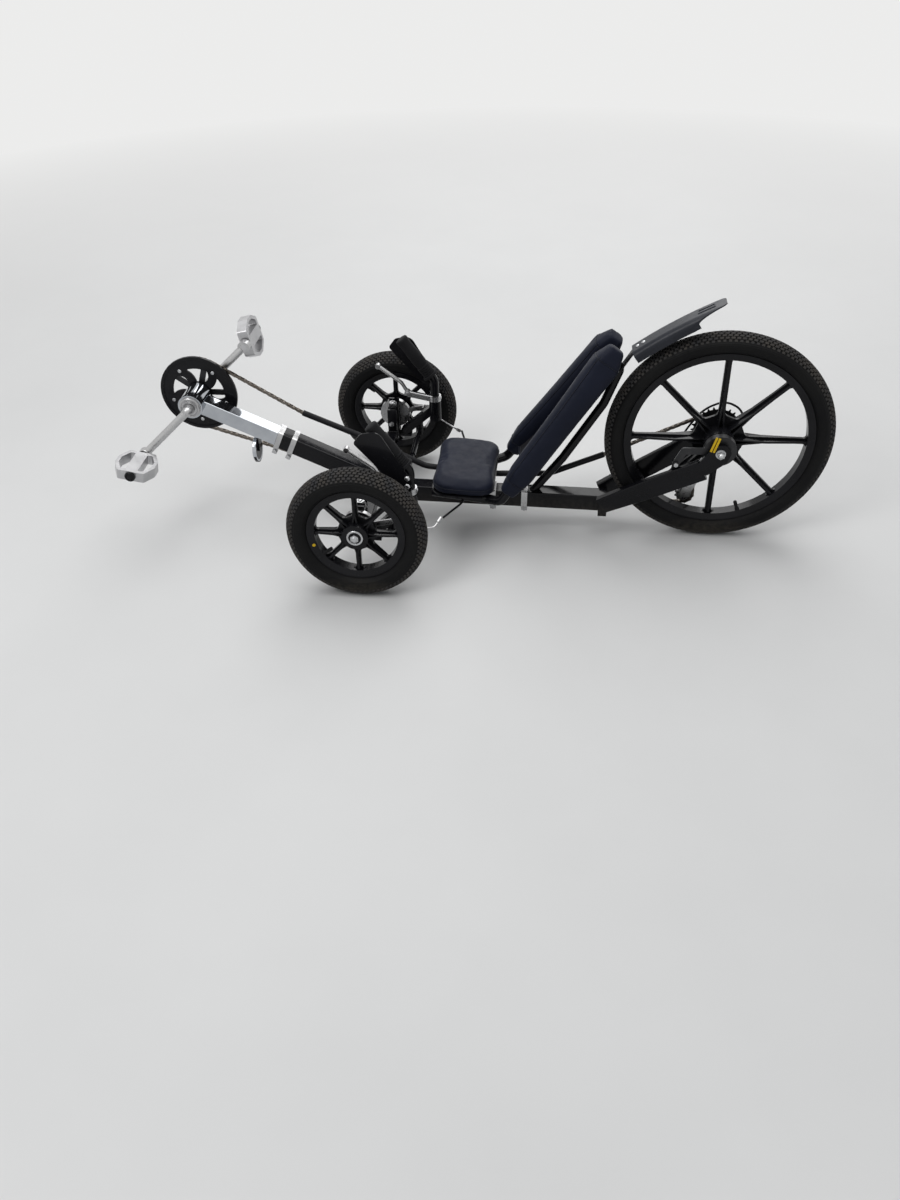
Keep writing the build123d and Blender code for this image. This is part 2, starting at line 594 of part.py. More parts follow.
def chain_run(start, end, links):
    """Straight stretch of chain: a slim core with a block at each link, or a plain bar in a tube."""
    first, last = (start[0], CHAIN_Y, start[1]), (end[0], CHAIN_Y, end[1])
    length = hypot(end[0] - start[0], end[1] - start[1])
    if not links:
        return beam(first, last, CHAIN_WIDTH, CHAIN_HEIGHT, corner=0.5)
    core = plain_bar(first, last, 3.6, 6.4, -CHAIN_OVERLAP, length + CHAIN_OVERLAP)
    count = int(length // CHAIN_PITCH)
    for i in range(count):
        width = CHAIN_WIDTH if i % 2 else CHAIN_WIDTH - 1.2
        begin = i * CHAIN_PITCH + 1.8
        core += plain_bar(first, last, width, CHAIN_HEIGHT, begin, begin + 9.6)
    return core


def plain_bar(first, last, width, height, begin, end):
    """Sharp-edged bar along part of a straight stretch."""
    axis = (Vector(*last) - Vector(*first)).normalized()
    plane = Plane(origin=Vector(*first) + axis * begin, x_dir=(0, 1, 0), z_dir=axis)
    return extrude(plane * Rectangle(width, height), amount=end - begin)


def build_drive():
    """Chain, guide tubes, freewheel and derailleur."""
    ring_radius = sprocket_radius(RING_TEETH)
    cog_radius = sprocket_radius(COG_TEETH[DRIVEN_COG])
    ring_centre, cog_centre = (BB_X, BB_Z), (WHEELBASE, REAR_RADIUS)

    ring_top, _ = tangent(ring_centre, ring_radius, UPPER_ROUTE[0], 0.001, 1, 1)
    _, cog_top = tangent(UPPER_ROUTE[-1], 0.001, cog_centre, cog_radius, 1, 1)
    cog_low, jockey_in = tangent(cog_centre, cog_radius, UPPER_JOCKEY, JOCKEY_RADIUS, 1, -1)
    jockey_out, low_in = tangent(UPPER_JOCKEY, JOCKEY_RADIUS, LOWER_JOCKEY, JOCKEY_RADIUS, -1, 1)
    low_out, _ = tangent(LOWER_JOCKEY, JOCKEY_RADIUS, LOWER_ROUTE[-1], 0.001, 1, 1)
    _, ring_low = tangent(LOWER_ROUTE[0], 0.001, ring_centre, ring_radius, 1, 1)

    pieces = [
        chain_run(ring_top, UPPER_ROUTE[0], True),
        chain_run(UPPER_ROUTE[-1], cog_top, True),
        chain_wrap(cog_centre, cog_radius, cog_top, cog_low, True, True),
        chain_run(cog_low, jockey_in, False),
        chain_wrap(UPPER_JOCKEY, JOCKEY_RADIUS, jockey_in, jockey_out, False, False),
        chain_run(jockey_out, low_in, False),
        chain_wrap(LOWER_JOCKEY, JOCKEY_RADIUS, low_in, low_out, False, True),
        chain_run(low_out, LOWER_ROUTE[-1], True),
        chain_run(LOWER_ROUTE[0], ring_low, True),
        chain_wrap(ring_centre, ring_radius, ring_low, ring_top, True, True),
    ]
    for route in (UPPER_ROUTE, LOWER_ROUTE):
        points = [(x, CHAIN_Y, z) for x, z in route]
        path = FilletPolyline(*points, radius=TUBE_BEND)
        start = Plane(origin=path @ 0, x_dir=(0, 1, 0), z_dir=path % 0)
        pieces.append(sweep(start * Rectangle(CHAIN_WIDTH, CHAIN_HEIGHT), path=path))
        for knee in (route[0], route[-1]):
            pieces.append(Pos(knee[0], CHAIN_Y, knee[1]) * Rot(90, 0, 0) *
                          Cylinder(CHAIN_HEIGHT / 2, CHAIN_WIDTH))
    chain = pieces[0]
    for piece in pieces[1:]:
        chain += piece
    for centre, radius in ((ring_centre, ring_radius), (cog_centre, cog_radius)):
        middle = Pos(centre[0], CHAIN_Y, centre[1]) * Rot(90, 0, 0)
        chain -= middle * Cylinder(radius + TOOTH_ROOM - 0.1, CHAIN_WIDTH - 2.6)
    keep("chain", chain)

    tubes = []
    for route in (UPPER_ROUTE, LOWER_ROUTE):
        points = [(x, CHAIN_Y, z) for x, z in route]
        tubes.append(bent_tube(points, TUBE_BEND, TUBE_RADIUS, TUBE_BORE))
    keep("chain_tubes", together(*tubes))


def freewheel_and_derailleur():
    """Cog cluster with its body, and the derailleur below the right dropout."""
    body = None
    for index, teeth in enumerate(COG_TEETH):
        y = CHAIN_Y + (index - DRIVEN_COG) * COG_SPACING
        place = Plane(origin=(WHEELBASE, y, REAR_RADIUS), x_dir=(1, 0, 0), z_dir=(0, 1, 0)).location
        cog = place * toothed_disc(teeth, 2.0, 4.2, 18.0)
        body = cog if body is None else body + cog
    first = CHAIN_Y - DRIVEN_COG * COG_SPACING - 2
    last = CHAIN_Y + (len(COG_TEETH) - 1 - DRIVEN_COG) * COG_SPACING + 1
    core = rod((WHEELBASE, first, REAR_RADIUS), (WHEELBASE, last, REAR_RADIUS), 22.0)
    body = body + core - rod((WHEELBASE, 0, REAR_RADIUS), (WHEELBASE, 90, REAR_RADIUS), 9.0)
    keep("freewheel", body)

    pieces = []
    for centre in (UPPER_JOCKEY, LOWER_JOCKEY):
        wheel_radius = JOCKEY_RADIUS - CHAIN_HEIGHT / 2
        pieces.append(rod((centre[0], CHAIN_Y - 3, centre[1]), (centre[0], CHAIN_Y + 3, centre[1]), wheel_radius))
        pieces.append(rod((centre[0], CHAIN_Y - 8, centre[1]), (centre[0], CHAIN_Y + 8, centre[1]), 4.0))
    for y in (CHAIN_Y - 8, CHAIN_Y + 6):
        place = Plane(origin=(0, y + 2, 0), x_dir=(1, 0, 0), z_dir=(0, -1, 0))
        cage = SlotCenterToCenter(hypot(UPPER_JOCKEY[0] - LOWER_JOCKEY[0], UPPER_JOCKEY[1] - LOWER_JOCKEY[1]), 24)
        angle = degrees(atan2(UPPER_JOCKEY[1] - LOWER_JOCKEY[1], UPPER_JOCKEY[0] - LOWER_JOCKEY[0]))
        middle = ((UPPER_JOCKEY[0] + LOWER_JOCKEY[0]) / 2, (UPPER_JOCKEY[1] + LOWER_JOCKEY[1]) / 2)
        pieces.append(extrude(place * Pos(*middle) * Rot(0, 0, angle) * cage, amount=2))
    knuckle = (WHEELBASE + 8, DROPOUT_Y + DROPOUT_THICKNESS, REAR_RADIUS - 30)
    pieces.append(rod(knuckle, (knuckle[0], knuckle[1] + 10, knuckle[2]), 9.0))
    low = (UPPER_JOCKEY[0], knuckle[1] + 7, UPPER_JOCKEY[1] + 2)
    pieces.append(beam((knuckle[0], knuckle[1] + 7, knuckle[2]), low, 12, 26, corner=4))
    pieces.append(rod((low[0], CHAIN_Y + 7, low[2]), (low[0], knuckle[1] + 12, low[2]), 10.0))
    stop = Vector(*GEAR_CABLE[-1]) - Vector(1.8, 0, 0.3)
    pieces.append(rod((UPPER_JOCKEY[0] + 18, stop.Y, stop.Z - 5), tuple(stop), 5.0))
    derailleur = pieces[0]
    for piece in pieces[1:]:
        derailleur += piece
    keep("derailleur", derailleur)


def rod_slot(start, end, width, low_y, thickness):
    """Flat link with round ends between two points of a plane of constant Y."""
    length = hypot(end[0] - start[0], end[1] - start[1])
    angle = degrees(atan2(end[1] - start[1], end[0] - start[0]))
    place = Plane(origin=(0, low_y, 0), x_dir=(1, 0, 0), z_dir=(0, -1, 0))
    middle = ((start[0] + end[0]) / 2, (start[1] + end[1]) / 2)
    return extrude(place * Pos(*middle) * Rot(0, 0, angle) * SlotCenterToCenter(length, width), amount=-thickness)


def build_wheels():
    """Three moulded wheels, tyres, hub axles and brakes."""
    rear = wheel_location(WHEELBASE, 0, REAR_RADIUS, -1)
    rear_wheel = mag_wheel(REAR_BEAD_RADIUS, 35.0, -34.0, 42.0, REAR_AXLE_RADIUS + RUNNING_FIT,
                           20.0, 15.0, 13.0, 62.0)
    keep("rear_rim", rear * rear_wheel)
    keep("rear_tyre", rear * tyre(REAR_RADIUS, REAR_BEAD_RADIUS, REAR_TYRE_WIDTH))
    drum = rear * Pos(0, 0, 55) * Cylinder(36, 16)
    hub, elbow, foot = (WHEELBASE, REAR_RADIUS), (WHEELBASE - 78, REAR_RADIUS - 2), (WHEELBASE - 93, REAR_RADIUS - 34)
    arm = None
    for start, end in ((hub, elbow), (elbow, foot)):
        link = rod_slot(start, end, 16.0, -63.0, 4.0)
        arm = link if arm is None else arm + link
    bolt = rod((foot[0], -67, foot[1]), (foot[0], -63, foot[1]), 6.0)
    bore = rear * Cylinder(REAR_AXLE_RADIUS, 300)
    tag = Pos(WHEELBASE - 14, -DROPOUT_Y - DROPOUT_THICKNESS - 1, REAR_RADIUS + 22) * Rot(0, 16, 0)
    strips = [tag * Pos(offset, 0, 0) * Box(4.5, 2, 36) for offset in (-3.4, 3.4)]
    keep("brake_tag", together(*strips))
    keep("rear_brake", drum + arm + bolt - bore)
    for side, name in ((-1, "left"), (1, "right")):
        place = wheel_location(0, side * TRACK / 2, FRONT_RADIUS, side, CAMBER)
        wheel = mag_wheel(FRONT_BEAD_RADIUS, 29.0, -16.0, 24.0, STUB_RADIUS + RUNNING_FIT,
                          15.0, 12.0, 10.0, 45.0)
        keep(f"front_rim_{name}", place * wheel)
        keep(f"front_tyre_{name}", place * tyre(FRONT_RADIUS, FRONT_BEAD_RADIUS, FRONT_TYRE_WIDTH))
        stub = Pos(0, 0, -1) * Cylinder(STUB_RADIUS, 72)
        stub += Pos(0, 0, 25.5) * Cylinder(18, 2.4)
        stub += Pos(0, 0, 30) * Cylinder(12, 8)
        keep(f"stub_axle_{name}", place * stub)
        drum = Pos(0, 0, -26.5) * Cylinder(38, 11) - Cylinder(STUB_RADIUS, 200)
        lever = Pos(28, 0, -25) * extrude(SlotCenterToCenter(92, 12), amount=2, both=True)
        lever += Pos(74, 0, -29) * Cylinder(4, 8)
        lever = Rot(0, 0, -side * 12) * lever - Cylinder(STUB_RADIUS, 200)
        keep(f"front_brake_{name}", place * (drum + lever))


def knuckle():
    """Right steering knuckle: lugs, web, arm, bar socket and tie-rod boss, about the kingpin."""
    top = KINGPIN_Z + 2 + KINGPIN_TUBE_LENGTH / 2 + LUG_GAP
    bottom = KINGPIN_Z + 2 - KINGPIN_TUBE_LENGTH / 2 - LUG_GAP
    web_place = wheel_location(0, TRACK / 2, FRONT_RADIUS, 1, CAMBER)
    body = web_place * Pos(0, 0, -34.5) * Box(LUG_WIDTH, top - bottom + 2 * LUG_THICKNESS + 6, 5)
    web_y = TRACK / 2 - 34
    for low in (top, bottom - LUG_THICKNESS):
        plate = Circle(LUG_WIDTH / 2)
        plate += Pos(0, (web_y - KINGPIN_Y) / 2) * Rectangle(LUG_WIDTH, web_y - KINGPIN_Y)
        body += Pos(0, KINGPIN_Y, low) * extrude(plate, amount=LUG_THICKNESS)
    heel = Pos(22, KINGPIN_Y + 6, bottom - LUG_THICKNESS) * extrude(Rectangle(44, 22), amount=LUG_THICKNESS)
    arm = beam((26, KINGPIN_Y + 5, bottom + 6), (103, KINGPIN_Y - 11, KINGPIN_Z + 44), 22, 20, corner=2)
    socket = Pos(BAR_X, BAR_Y, KINGPIN_Z + 42) * Cylinder(BAR_RADIUS + 4, 50)
    boss = rod((STEER_ARM, KINGPIN_Y, TIE_ROD_Z + 7), (STEER_ARM, KINGPIN_Y, TIE_ROD_Z + 26), 9.0)
    pin = rod((STEER_ARM, KINGPIN_Y, TIE_ROD_Z - 9), (STEER_ARM, KINGPIN_Y, TIE_ROD_Z + 10), TIE_ROD_RADIUS)
    head = rod((STEER_ARM, KINGPIN_Y, TIE_ROD_Z - 12), (STEER_ARM, KINGPIN_Y, TIE_ROD_Z - 7), 8.0)
    body += heel + arm + socket + boss + pin + head
    bar_bore = Pos(BAR_X, BAR_Y, KINGPIN_Z + 60) * Cylinder(BAR_RADIUS, 80)
    kingpin_bore = Pos(0, KINGPIN_Y, KINGPIN_Z) * Cylinder(KINGPIN_RADIUS + RUNNING_FIT, 200)
    stub_bore = web_place * Cylinder(STUB_RADIUS, 100)
    return body - bar_bore - kingpin_bore - stub_bore


def bar_piece():
    """Right handlebar: upright, then bent forward under the grip."""
    return bent_tube(BAR_ROUTE, [BAR_BEND], BAR_RADIUS, BAR_RADIUS - 2)


def grip_piece():
    """Right rubber grip over the end of the bar, closed at its top."""
    top, knee = Vector(*BAR_ROUTE[2]), Vector(*BAR_ROUTE[1])
    run = (knee - top).normalized()
    cap = top - run * 4
    low = cap + run * GRIP_LENGTH
    grip = rod(tuple(cap), tuple(low), GRIP_RADIUS)
    flange = rod(tuple(low), tuple(low - run * 5), GRIP_RADIUS + 4)
    return grip + flange - rod(tuple(top), tuple(low + run * 5), BAR_RADIUS)


def hand_guard():
    """Right plate guarding the hand from the wheel, bolted to the bar over two short spacers."""
    outline = make_face(Polyline(*[corner[:2] for corner in GUARD_CORNERS], close=True))
    for x, z, radius in GUARD_CORNERS:
        outline = fillet(outline.vertices().sort_by_distance((x, z, 0))[:1], radius)
    place = Plane(origin=(0, GUARD_PLATE_Y + GUARD_PLATE_THICKNESS, 0), x_dir=(1, 0, 0), z_dir=(0, -1, 0))
    guard = extrude(place * outline, amount=GUARD_PLATE_THICKNESS)
    for z in GUARD_BOLTS:
        guard += rod((BAR_X - 2, BAR_Y + 8, z), (BAR_X - 2, GUARD_PLATE_Y, z), GUARD_BOLT_RADIUS)
    return guard - bent_tube(BAR_ROUTE, [BAR_BEND], BAR_RADIUS) - grip_piece()


def brake_lever():
    """Right brake lever: clamp ring below the grip, bracket and a bent blade ahead of it."""
    clamp = Pos(BAR_X, BAR_Y, LEVER_CLAMP_Z) * Cylinder(BAR_RADIUS + 4, 14)
    bracket = beam((BAR_X - 6, BAR_Y - 6, LEVER_CLAMP_Z), (46, LEVER_Y, 238), 10, 16, corner=3)
    pivot = rod((44, LEVER_Y - 7, 241), (44, LEVER_Y + 7, 241), 7.0)
    route = ((46, LEVER_Y, 238), (30, LEVER_Y, 267), (-26, LEVER_Y, 309))
    path = FilletPolyline(*route, radius=24)
    start = Plane(origin=path @ 0, x_dir=(0, 1, 0), z_dir=path % 0)
    blade = sweep(start * RectangleRounded(12, 6, 2), path=path)
    tip = rod((-26, LEVER_Y - 6, 309), (-26, LEVER_Y + 6, 309), 6.0)
    lever = clamp + bracket + pivot + blade + tip
    return lever - Pos(BAR_X, BAR_Y, LEVER_CLAMP_Z) * Cylinder(BAR_RADIUS, 40)


def build_steering():
    """Kingpin bolts, knuckles, handlebars and the tie rod."""
    top = KINGPIN_Z + 2 + KINGPIN_TUBE_LENGTH / 2 + LUG_GAP + LUG_THICKNESS
    bottom = KINGPIN_Z + 2 - KINGPIN_TUBE_LENGTH / 2 - LUG_GAP - LUG_THICKNESS
    bolts = []
    for side in (-1, 1):
        y = side * KINGPIN_Y
        bolt = rod((0, y, bottom - 9), (0, y, top + 8), KINGPIN_RADIUS)
        bolt += extrude(Plane((0, y, top + 0.5)) * RegularPolygon(10, 6), amount=8)
        bolt += extrude(Plane((0, y, bottom - 10.5)) * RegularPolygon(10, 6), amount=10)
        bolts.append(bolt)
    keep("kingpins", together(*bolts))

    right = {"knuckle": knuckle(), "bar": bar_piece(), "grip": grip_piece(),
             "hand_guard": hand_guard(), "brake_lever": brake_lever()}
    for name, shape in right.items():
        keep(f"{name}_right", shape)
        keep(f"{name}_left", mirrored(shape))

    rod_body = rod((STEER_ARM, -KINGPIN_Y, TIE_ROD_Z), (STEER_ARM, KINGPIN_Y, TIE_ROD_Z), TIE_ROD_RADIUS)
    for side in (-1, 1):
        y = side * KINGPIN_Y
        rod_body += rod((STEER_ARM, y, TIE_ROD_Z - 6), (STEER_ARM, y, TIE_ROD_Z + 6), 10.0)
        rod_body += rod((STEER_ARM, side * 100, TIE_ROD_Z), (STEER_ARM, side * 190, TIE_ROD_Z), 7.0)
        rod_body -= rod((STEER_ARM, y, TIE_ROD_Z - 9), (STEER_ARM, y, TIE_ROD_Z + 9),
                        TIE_ROD_RADIUS + RUNNING_FIT)
    keep("tie_rod", rod_body)


def pad_plane(depth):
    """Tilted plane of the seat pad, at a depth below its top."""
    tilt = radians(PAD_TILT)
    normal = Vector(sin(tilt), 0, cos(tilt))
    origin = Vector(PAD_X, 0, PAD_TOP_Z) - normal * depth
    return Plane(origin=origin, x_dir=(cos(tilt), 0, -sin(tilt)), z_dir=normal)


def build_seat():
    """Pad on its pan, rails, wings, sling, brace and straps."""
    cushion = extrude(pad_plane(PAD_THICKNESS) * RectangleRounded(PAD_LENGTH, PAD_WIDTH, PAD_CORNER),
                      amount=PAD_THICKNESS)
    cushion = fillet(cushion.faces().sort_by(Axis.Z)[-1].edges(), 12)
    keep("seat_pad", cushion)
    sheet = RectangleRounded(PAD_LENGTH - 8, PAD_WIDTH - 8, PAD_CORNER - 4)
    along, across, cut_length, cut_width = PAN_CUT
    for side in (-1, 1):
        sheet -= Pos(along, side * across) * Rectangle(cut_length, cut_width)
    pan = extrude(pad_plane(PAD_THICKNESS) * sheet, amount=-PAN_THICKNESS)
    saddle = extrude(pad_plane(PAD_THICKNESS + PAN_THICKNESS) * Pos(8, 0) * Rectangle(56, 36), amount=-40)
    saddle -= main_tube(0)
    keep("seat_pan", pan + saddle)

    direction = (Vector(*WING_TOP) - Vector(*WING_BOTTOM)).normalized()
    rail_low = Vector(*WING_BOTTOM) - direction * 22
    rail_top = Vector(*WING_TOP) - direction * 30
    under = pad_plane(PAD_THICKNESS + PAN_THICKNESS + RAIL_RADIUS)
    front = under.from_local_coords(Vector(-70, 78, 0))
    back = under.from_local_coords(Vector(58, 88, 0))
    route = [tuple(point) for point in (front, back, rail_low, rail_top)]
    rail = bent_tube(route, [24.0, 18.0], RAIL_RADIUS)
    rails = rail + mirrored(rail)
    brace = bent_tube(BRACE_ROUTE, BRACE_BENDS, BRACE_RADIUS)
    brace -= main_tube(0)
    brace = brace.solids().sort_by(Axis.Z)[-1]
    top_bar = rod((rail_top.X, -rail_top.Y, rail_top.Z), (rail_top.X, rail_top.Y, rail_top.Z), 8.0)
    keep("seat_rails", rails + brace + top_bar)

    wing = wing_piece() - rod(tuple(rail_low), tuple(rail_top), RAIL_RADIUS) - top_bar
    keep("seat_wings", together(wing, mirrored(wing)))
    keep("seat_sling", sling_piece() - wing_piece() - mirrored(wing_piece()) - rails - top_bar - brace)
    straps = [tube_band((x, 0, main_tube_z(x)), 1.0, STRAP_WIDTH, STRAP_EAR) for x in STRAP_STATIONS]
    keep("seat_straps", together(*straps))


def sling_piece():
    """Thin bowed sheet stretched between the two bolsters."""
    sections = []
    for share, bow in SLING_SECTIONS:
        axis = Vector(*WING_TOP) - Vector(*WING_BOTTOM)
        flat = Vector(axis.X, 0, axis.Z)
        centre = Vector(*WING_BOTTOM) + axis * share
        plane = Plane(origin=(centre.X, 0, centre.Z), x_dir=(0, 1, 0), z_dir=flat)
        half = centre.Y
        front = ThreePointArc((-half, 4), (0, 4 - bow), (half, 4))
        back = ThreePointArc((half, 0), (0, -bow), (-half, 0))
        sides = Line((half, 4), (half, 0)) + Line((-half, 0), (-half, 4))
        sections.append(plane * make_face(front + sides + back))
    return loft(sections)


def wing_piece():
    """Right bolster with tapered ends, leaning with the seat back and turned in towards its top."""
    sections = []
    bottom = Vector(*WING_BOTTOM)
    axis = Vector(*WING_TOP) - bottom
    for share, depth, width, forward in WING_SECTIONS:
        plane = Plane(origin=bottom + axis * share, x_dir=(0, 1, 0), z_dir=axis)
        sections.append(plane * Pos(0, forward) * RectangleRounded(width, depth, WING_CORNER))
    return loft(sections, ruled=True)


def build_mudguard():
    """Trough over the rear wheel with a rounded upswept tail, and its bracket on the seat brace."""
    crown = [(x, 0, z) for x, z in MUDGUARD_CROWN]
    path = ThreePointArc(*crown)
    wall, width, depth = MUDGUARD_WALL, MUDGUARD_WIDTH, MUDGUARD_DEPTH
    outer = Pos(0, -depth) * RectangleRounded(width, 2 * depth, 14)
    inner = Pos(0, -depth - wall) * RectangleRounded(width - 2 * wall, 2 * depth, 12)
    section = outer - inner - Pos(0, -2 * depth) * Rectangle(2 * width, 2 * depth)
    plane = Plane(origin=path @ 0, x_dir=(0, 1, 0), z_dir=path % 0)
    trough = sweep(plane * section, path=path)
    chord = Vector(*crown[2]) - Vector(*crown[0])
    length = chord.length
    flat = Plane(origin=crown[0], x_dir=chord, z_dir=chord.cross(Vector(0, 1, 0)))
    tongue = Polyline((-60, -width), (-60, width), (length * 0.3, width), (length * 0.62, width / 2),
                      (length + 2, MUDGUARD_TAIL / 2), (length + 2, -MUDGUARD_TAIL / 2),
                      (length * 0.62, -width / 2), (length * 0.3, -width), close=True)
    tongue = make_face(tongue)
    tongue = fillet(tongue.vertices().sort_by(Axis.X)[-2:], MUDGUARD_TAIL * 0.42)
    trough = trough & extrude(flat * tongue, amount=100, both=True)
    keep("mudguard", trough)
    foot = (BRACE_ROUTE[3][0] - 2, 0, BRACE_ROUTE[3][2] - 4)
    knee = (crown[0][0] + 4, 0, crown[0][2] - 4)
    rest = Vector(*knee) + (path % 0) * 26
    strap = beam(foot, knee, 24, 4, corner=1)
    strap += beam(knee, tuple(rest), 24, 4, corner=1)
    keep("mudguard_bracket", strap - bent_tube(BRACE_ROUTE, BRACE_BENDS, BRACE_RADIUS) - placed("mudguard"))


def build_cables():
    """Front brake cables below the seat, their end pieces at the drums, and the gear cable's loop."""
    right = cable(FRONT_CABLE, CABLE_RADIUS)
    keep("cable_brake_right", right)
    keep("cable_brake_left", mirrored(right))
    noodle = bent_tube(NOODLE_ROUTE, [18.0, 24.0], NOODLE_RADIUS - 1)
    first, second = Vector(*NOODLE_ROUTE[0]), Vector(*NOODLE_ROUTE[1])
    noodle += rod(tuple(first), tuple(first + (second - first) * 0.5), NOODLE_RADIUS + 1)
    noodle -= placed("front_brake_right")
    keep("brake_noodle_right", noodle)
    keep("brake_noodle_left", mirrored(noodle))
    keep("cable_gear", cable(GEAR_CABLE, CABLE_RADIUS))


def main():
    """Build every piece and write it as a STEP file."""
    build_frame()
    build_crank()
    build_drive()
    freewheel_and_derailleur()
    build_wheels()
    build_steering()
    build_seat()
    build_mudguard()
    build_cables()
    os.makedirs("parts", exist_ok=True)
    for name, shape in PARTS.items():
        export_step(shape, f"parts/{name}.step")


if __name__ == "__main__":
    main()
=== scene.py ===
"""Looks of a recumbent pedal trike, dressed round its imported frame.

Lengths are metres in the frame's own axes: the trike faces -X, its left side is -Y and +Z is up.
Stations in tables are millimetres from the front axle, as they are in the part's source.
"""
import json
import logging
import math
from dataclasses import dataclass
from enum import Enum
from typing import Any, Optional, Sequence, Union

import bmesh
import bpy
from mathutils import Matrix, Vector
from mathutils.bvhtree import BVHTree
from mathutils.kdtree import KDTree

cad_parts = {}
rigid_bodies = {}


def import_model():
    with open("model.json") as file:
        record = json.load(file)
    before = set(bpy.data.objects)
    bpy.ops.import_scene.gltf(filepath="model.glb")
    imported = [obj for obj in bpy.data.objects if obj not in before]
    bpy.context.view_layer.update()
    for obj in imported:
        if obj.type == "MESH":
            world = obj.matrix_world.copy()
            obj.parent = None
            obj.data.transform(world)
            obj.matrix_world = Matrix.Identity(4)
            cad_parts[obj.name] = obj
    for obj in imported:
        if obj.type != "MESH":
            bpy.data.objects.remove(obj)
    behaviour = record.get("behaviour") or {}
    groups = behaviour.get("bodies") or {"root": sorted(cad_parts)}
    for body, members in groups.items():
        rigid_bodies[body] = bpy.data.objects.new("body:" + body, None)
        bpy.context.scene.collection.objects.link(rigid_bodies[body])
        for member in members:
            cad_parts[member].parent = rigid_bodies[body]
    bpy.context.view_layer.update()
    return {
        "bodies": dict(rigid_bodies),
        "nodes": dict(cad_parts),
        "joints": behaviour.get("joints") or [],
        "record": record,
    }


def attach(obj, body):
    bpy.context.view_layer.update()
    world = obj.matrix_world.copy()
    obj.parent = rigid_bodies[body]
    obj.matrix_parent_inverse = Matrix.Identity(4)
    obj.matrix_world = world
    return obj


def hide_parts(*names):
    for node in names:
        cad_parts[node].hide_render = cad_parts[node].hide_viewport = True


LOG = logging.getLogger("trike")
SIDES = (("left", -1.0), ("right", 1.0))
FULL_TURN = 2.0 * math.pi
Colour = tuple[float, float, float]
Socket = bpy.types.NodeSocket


class Grain(Enum):
    """Kind of surface texture that a finish carries."""

    PAINT = "paint"
    MOULDED = "moulded"
    BRUSHED = "brushed"
    POLISHED = "polished"
    CAST = "cast"
    VINYL = "vinyl"
    WEAVE = "weave"
    RUBBER = "rubber"
    CLEAR = "clear"


class Head(Enum):
    """Kind of fastener head."""

    DOME = "dome"
    HEX = "hex"
    SOCKET = "socket"


@dataclass(frozen=True)
class Finish:
    """Look of one material.

    Attributes:
        name: Material name.
        colour: Main linear colour.
        accent: Colour that slow variation drifts to.
        rough: Lowest and highest roughness.
        grain: Kind of fine texture.
        metallic: Share of metal.
        coat: Weight of the clear coat.
        sheen: Weight of the cloth sheen.
        specular: Level of the mirror reflection.
        patch: Number of colour patches per metre.
        depth: Height of the fine texture in metres.
        wear: Share of the surface that shows scuffs.
        wear_colour: Colour of the scuffs.
        dust: Height above the floor up to which dust lies, or 0.
    """

    name: str
    colour: Colour
    accent: Colour
    rough: tuple[float, float] = (0.3, 0.45)
    grain: Grain = Grain.MOULDED
    metallic: float = 0.0
    coat: float = 0.0
    sheen: float = 0.0
    specular: float = 0.12
    patch: float = 14.0
    depth: float = 0.00004
    wear: float = 0.0
    wear_colour: Colour = (0.2, 0.2, 0.2)
    dust: float = 0.0


DUST_COLOUR = (0.16, 0.14, 0.11)
SURROUNDINGS = (0.84, 0.84, 0.835)
FLOOR_FADE = (1.5, 4.2)
GLOSS_BLACK = Finish("gloss_black", (0.004, 0.004, 0.005), (0.007, 0.007, 0.009), (0.12, 0.26),
                     Grain.PAINT, coat=0.12, depth=0.00002, wear=0.3, wear_colour=(0.05, 0.05, 0.05),
                     dust=0.1)
WHEEL_BLACK = Finish("wheel_black", (0.005, 0.005, 0.006), (0.009, 0.009, 0.011), (0.16, 0.30),
                     Grain.MOULDED, coat=0.12, depth=0.00003, wear=0.3, wear_colour=(0.03, 0.03, 0.03))
GUARD_BLACK = Finish("guard_black", (0.006, 0.006, 0.007), (0.010, 0.010, 0.012), (0.16, 0.30),
                     Grain.MOULDED, coat=0.1, depth=0.00003, wear=0.4, wear_colour=(0.04, 0.04, 0.04))
FENDER_BLACK = Finish("fender_black", (0.013, 0.015, 0.021), (0.020, 0.022, 0.030), (0.26, 0.42),
                      Grain.MOULDED, coat=0.06, specular=0.2, depth=0.00004, wear=0.6,
                      wear_colour=(0.08, 0.08, 0.09))
TUBE_BLACK = Finish("tube_black", (0.008, 0.008, 0.009), (0.016, 0.016, 0.018), (0.34, 0.52),
                    Grain.MOULDED, depth=0.00005, wear=0.5, wear_colour=(0.05, 0.05, 0.05))
CABLE_BLACK = Finish("cable_black", (0.006, 0.006, 0.007), (0.012, 0.012, 0.013), (0.28, 0.42),
                     Grain.MOULDED, depth=0.00002)
CHROME = Finish("chrome", (0.50, 0.52, 0.55), (0.40, 0.42, 0.45), (0.04, 0.14), Grain.POLISHED,
                metallic=1.0, depth=0.00001, wear=0.3, wear_colour=(0.36, 0.35, 0.33))
SILVER = Finish("silver", (0.52, 0.52, 0.52), (0.38, 0.38, 0.39), (0.22, 0.40), Grain.BRUSHED,
                metallic=1.0, depth=0.00002, wear=0.4, wear_colour=(0.30, 0.29, 0.28))
CAGE_SILVER = Finish("cage_silver", (0.56, 0.56, 0.57), (0.42, 0.42, 0.43), (0.26, 0.44), Grain.CAST,
                     metallic=0.9, depth=0.00004, wear=0.5, wear_colour=(0.32, 0.31, 0.30))
ZINC = Finish("zinc", (0.56, 0.57, 0.58), (0.42, 0.42, 0.43), (0.20, 0.36), Grain.BRUSHED,
              metallic=1.0, depth=0.00002)
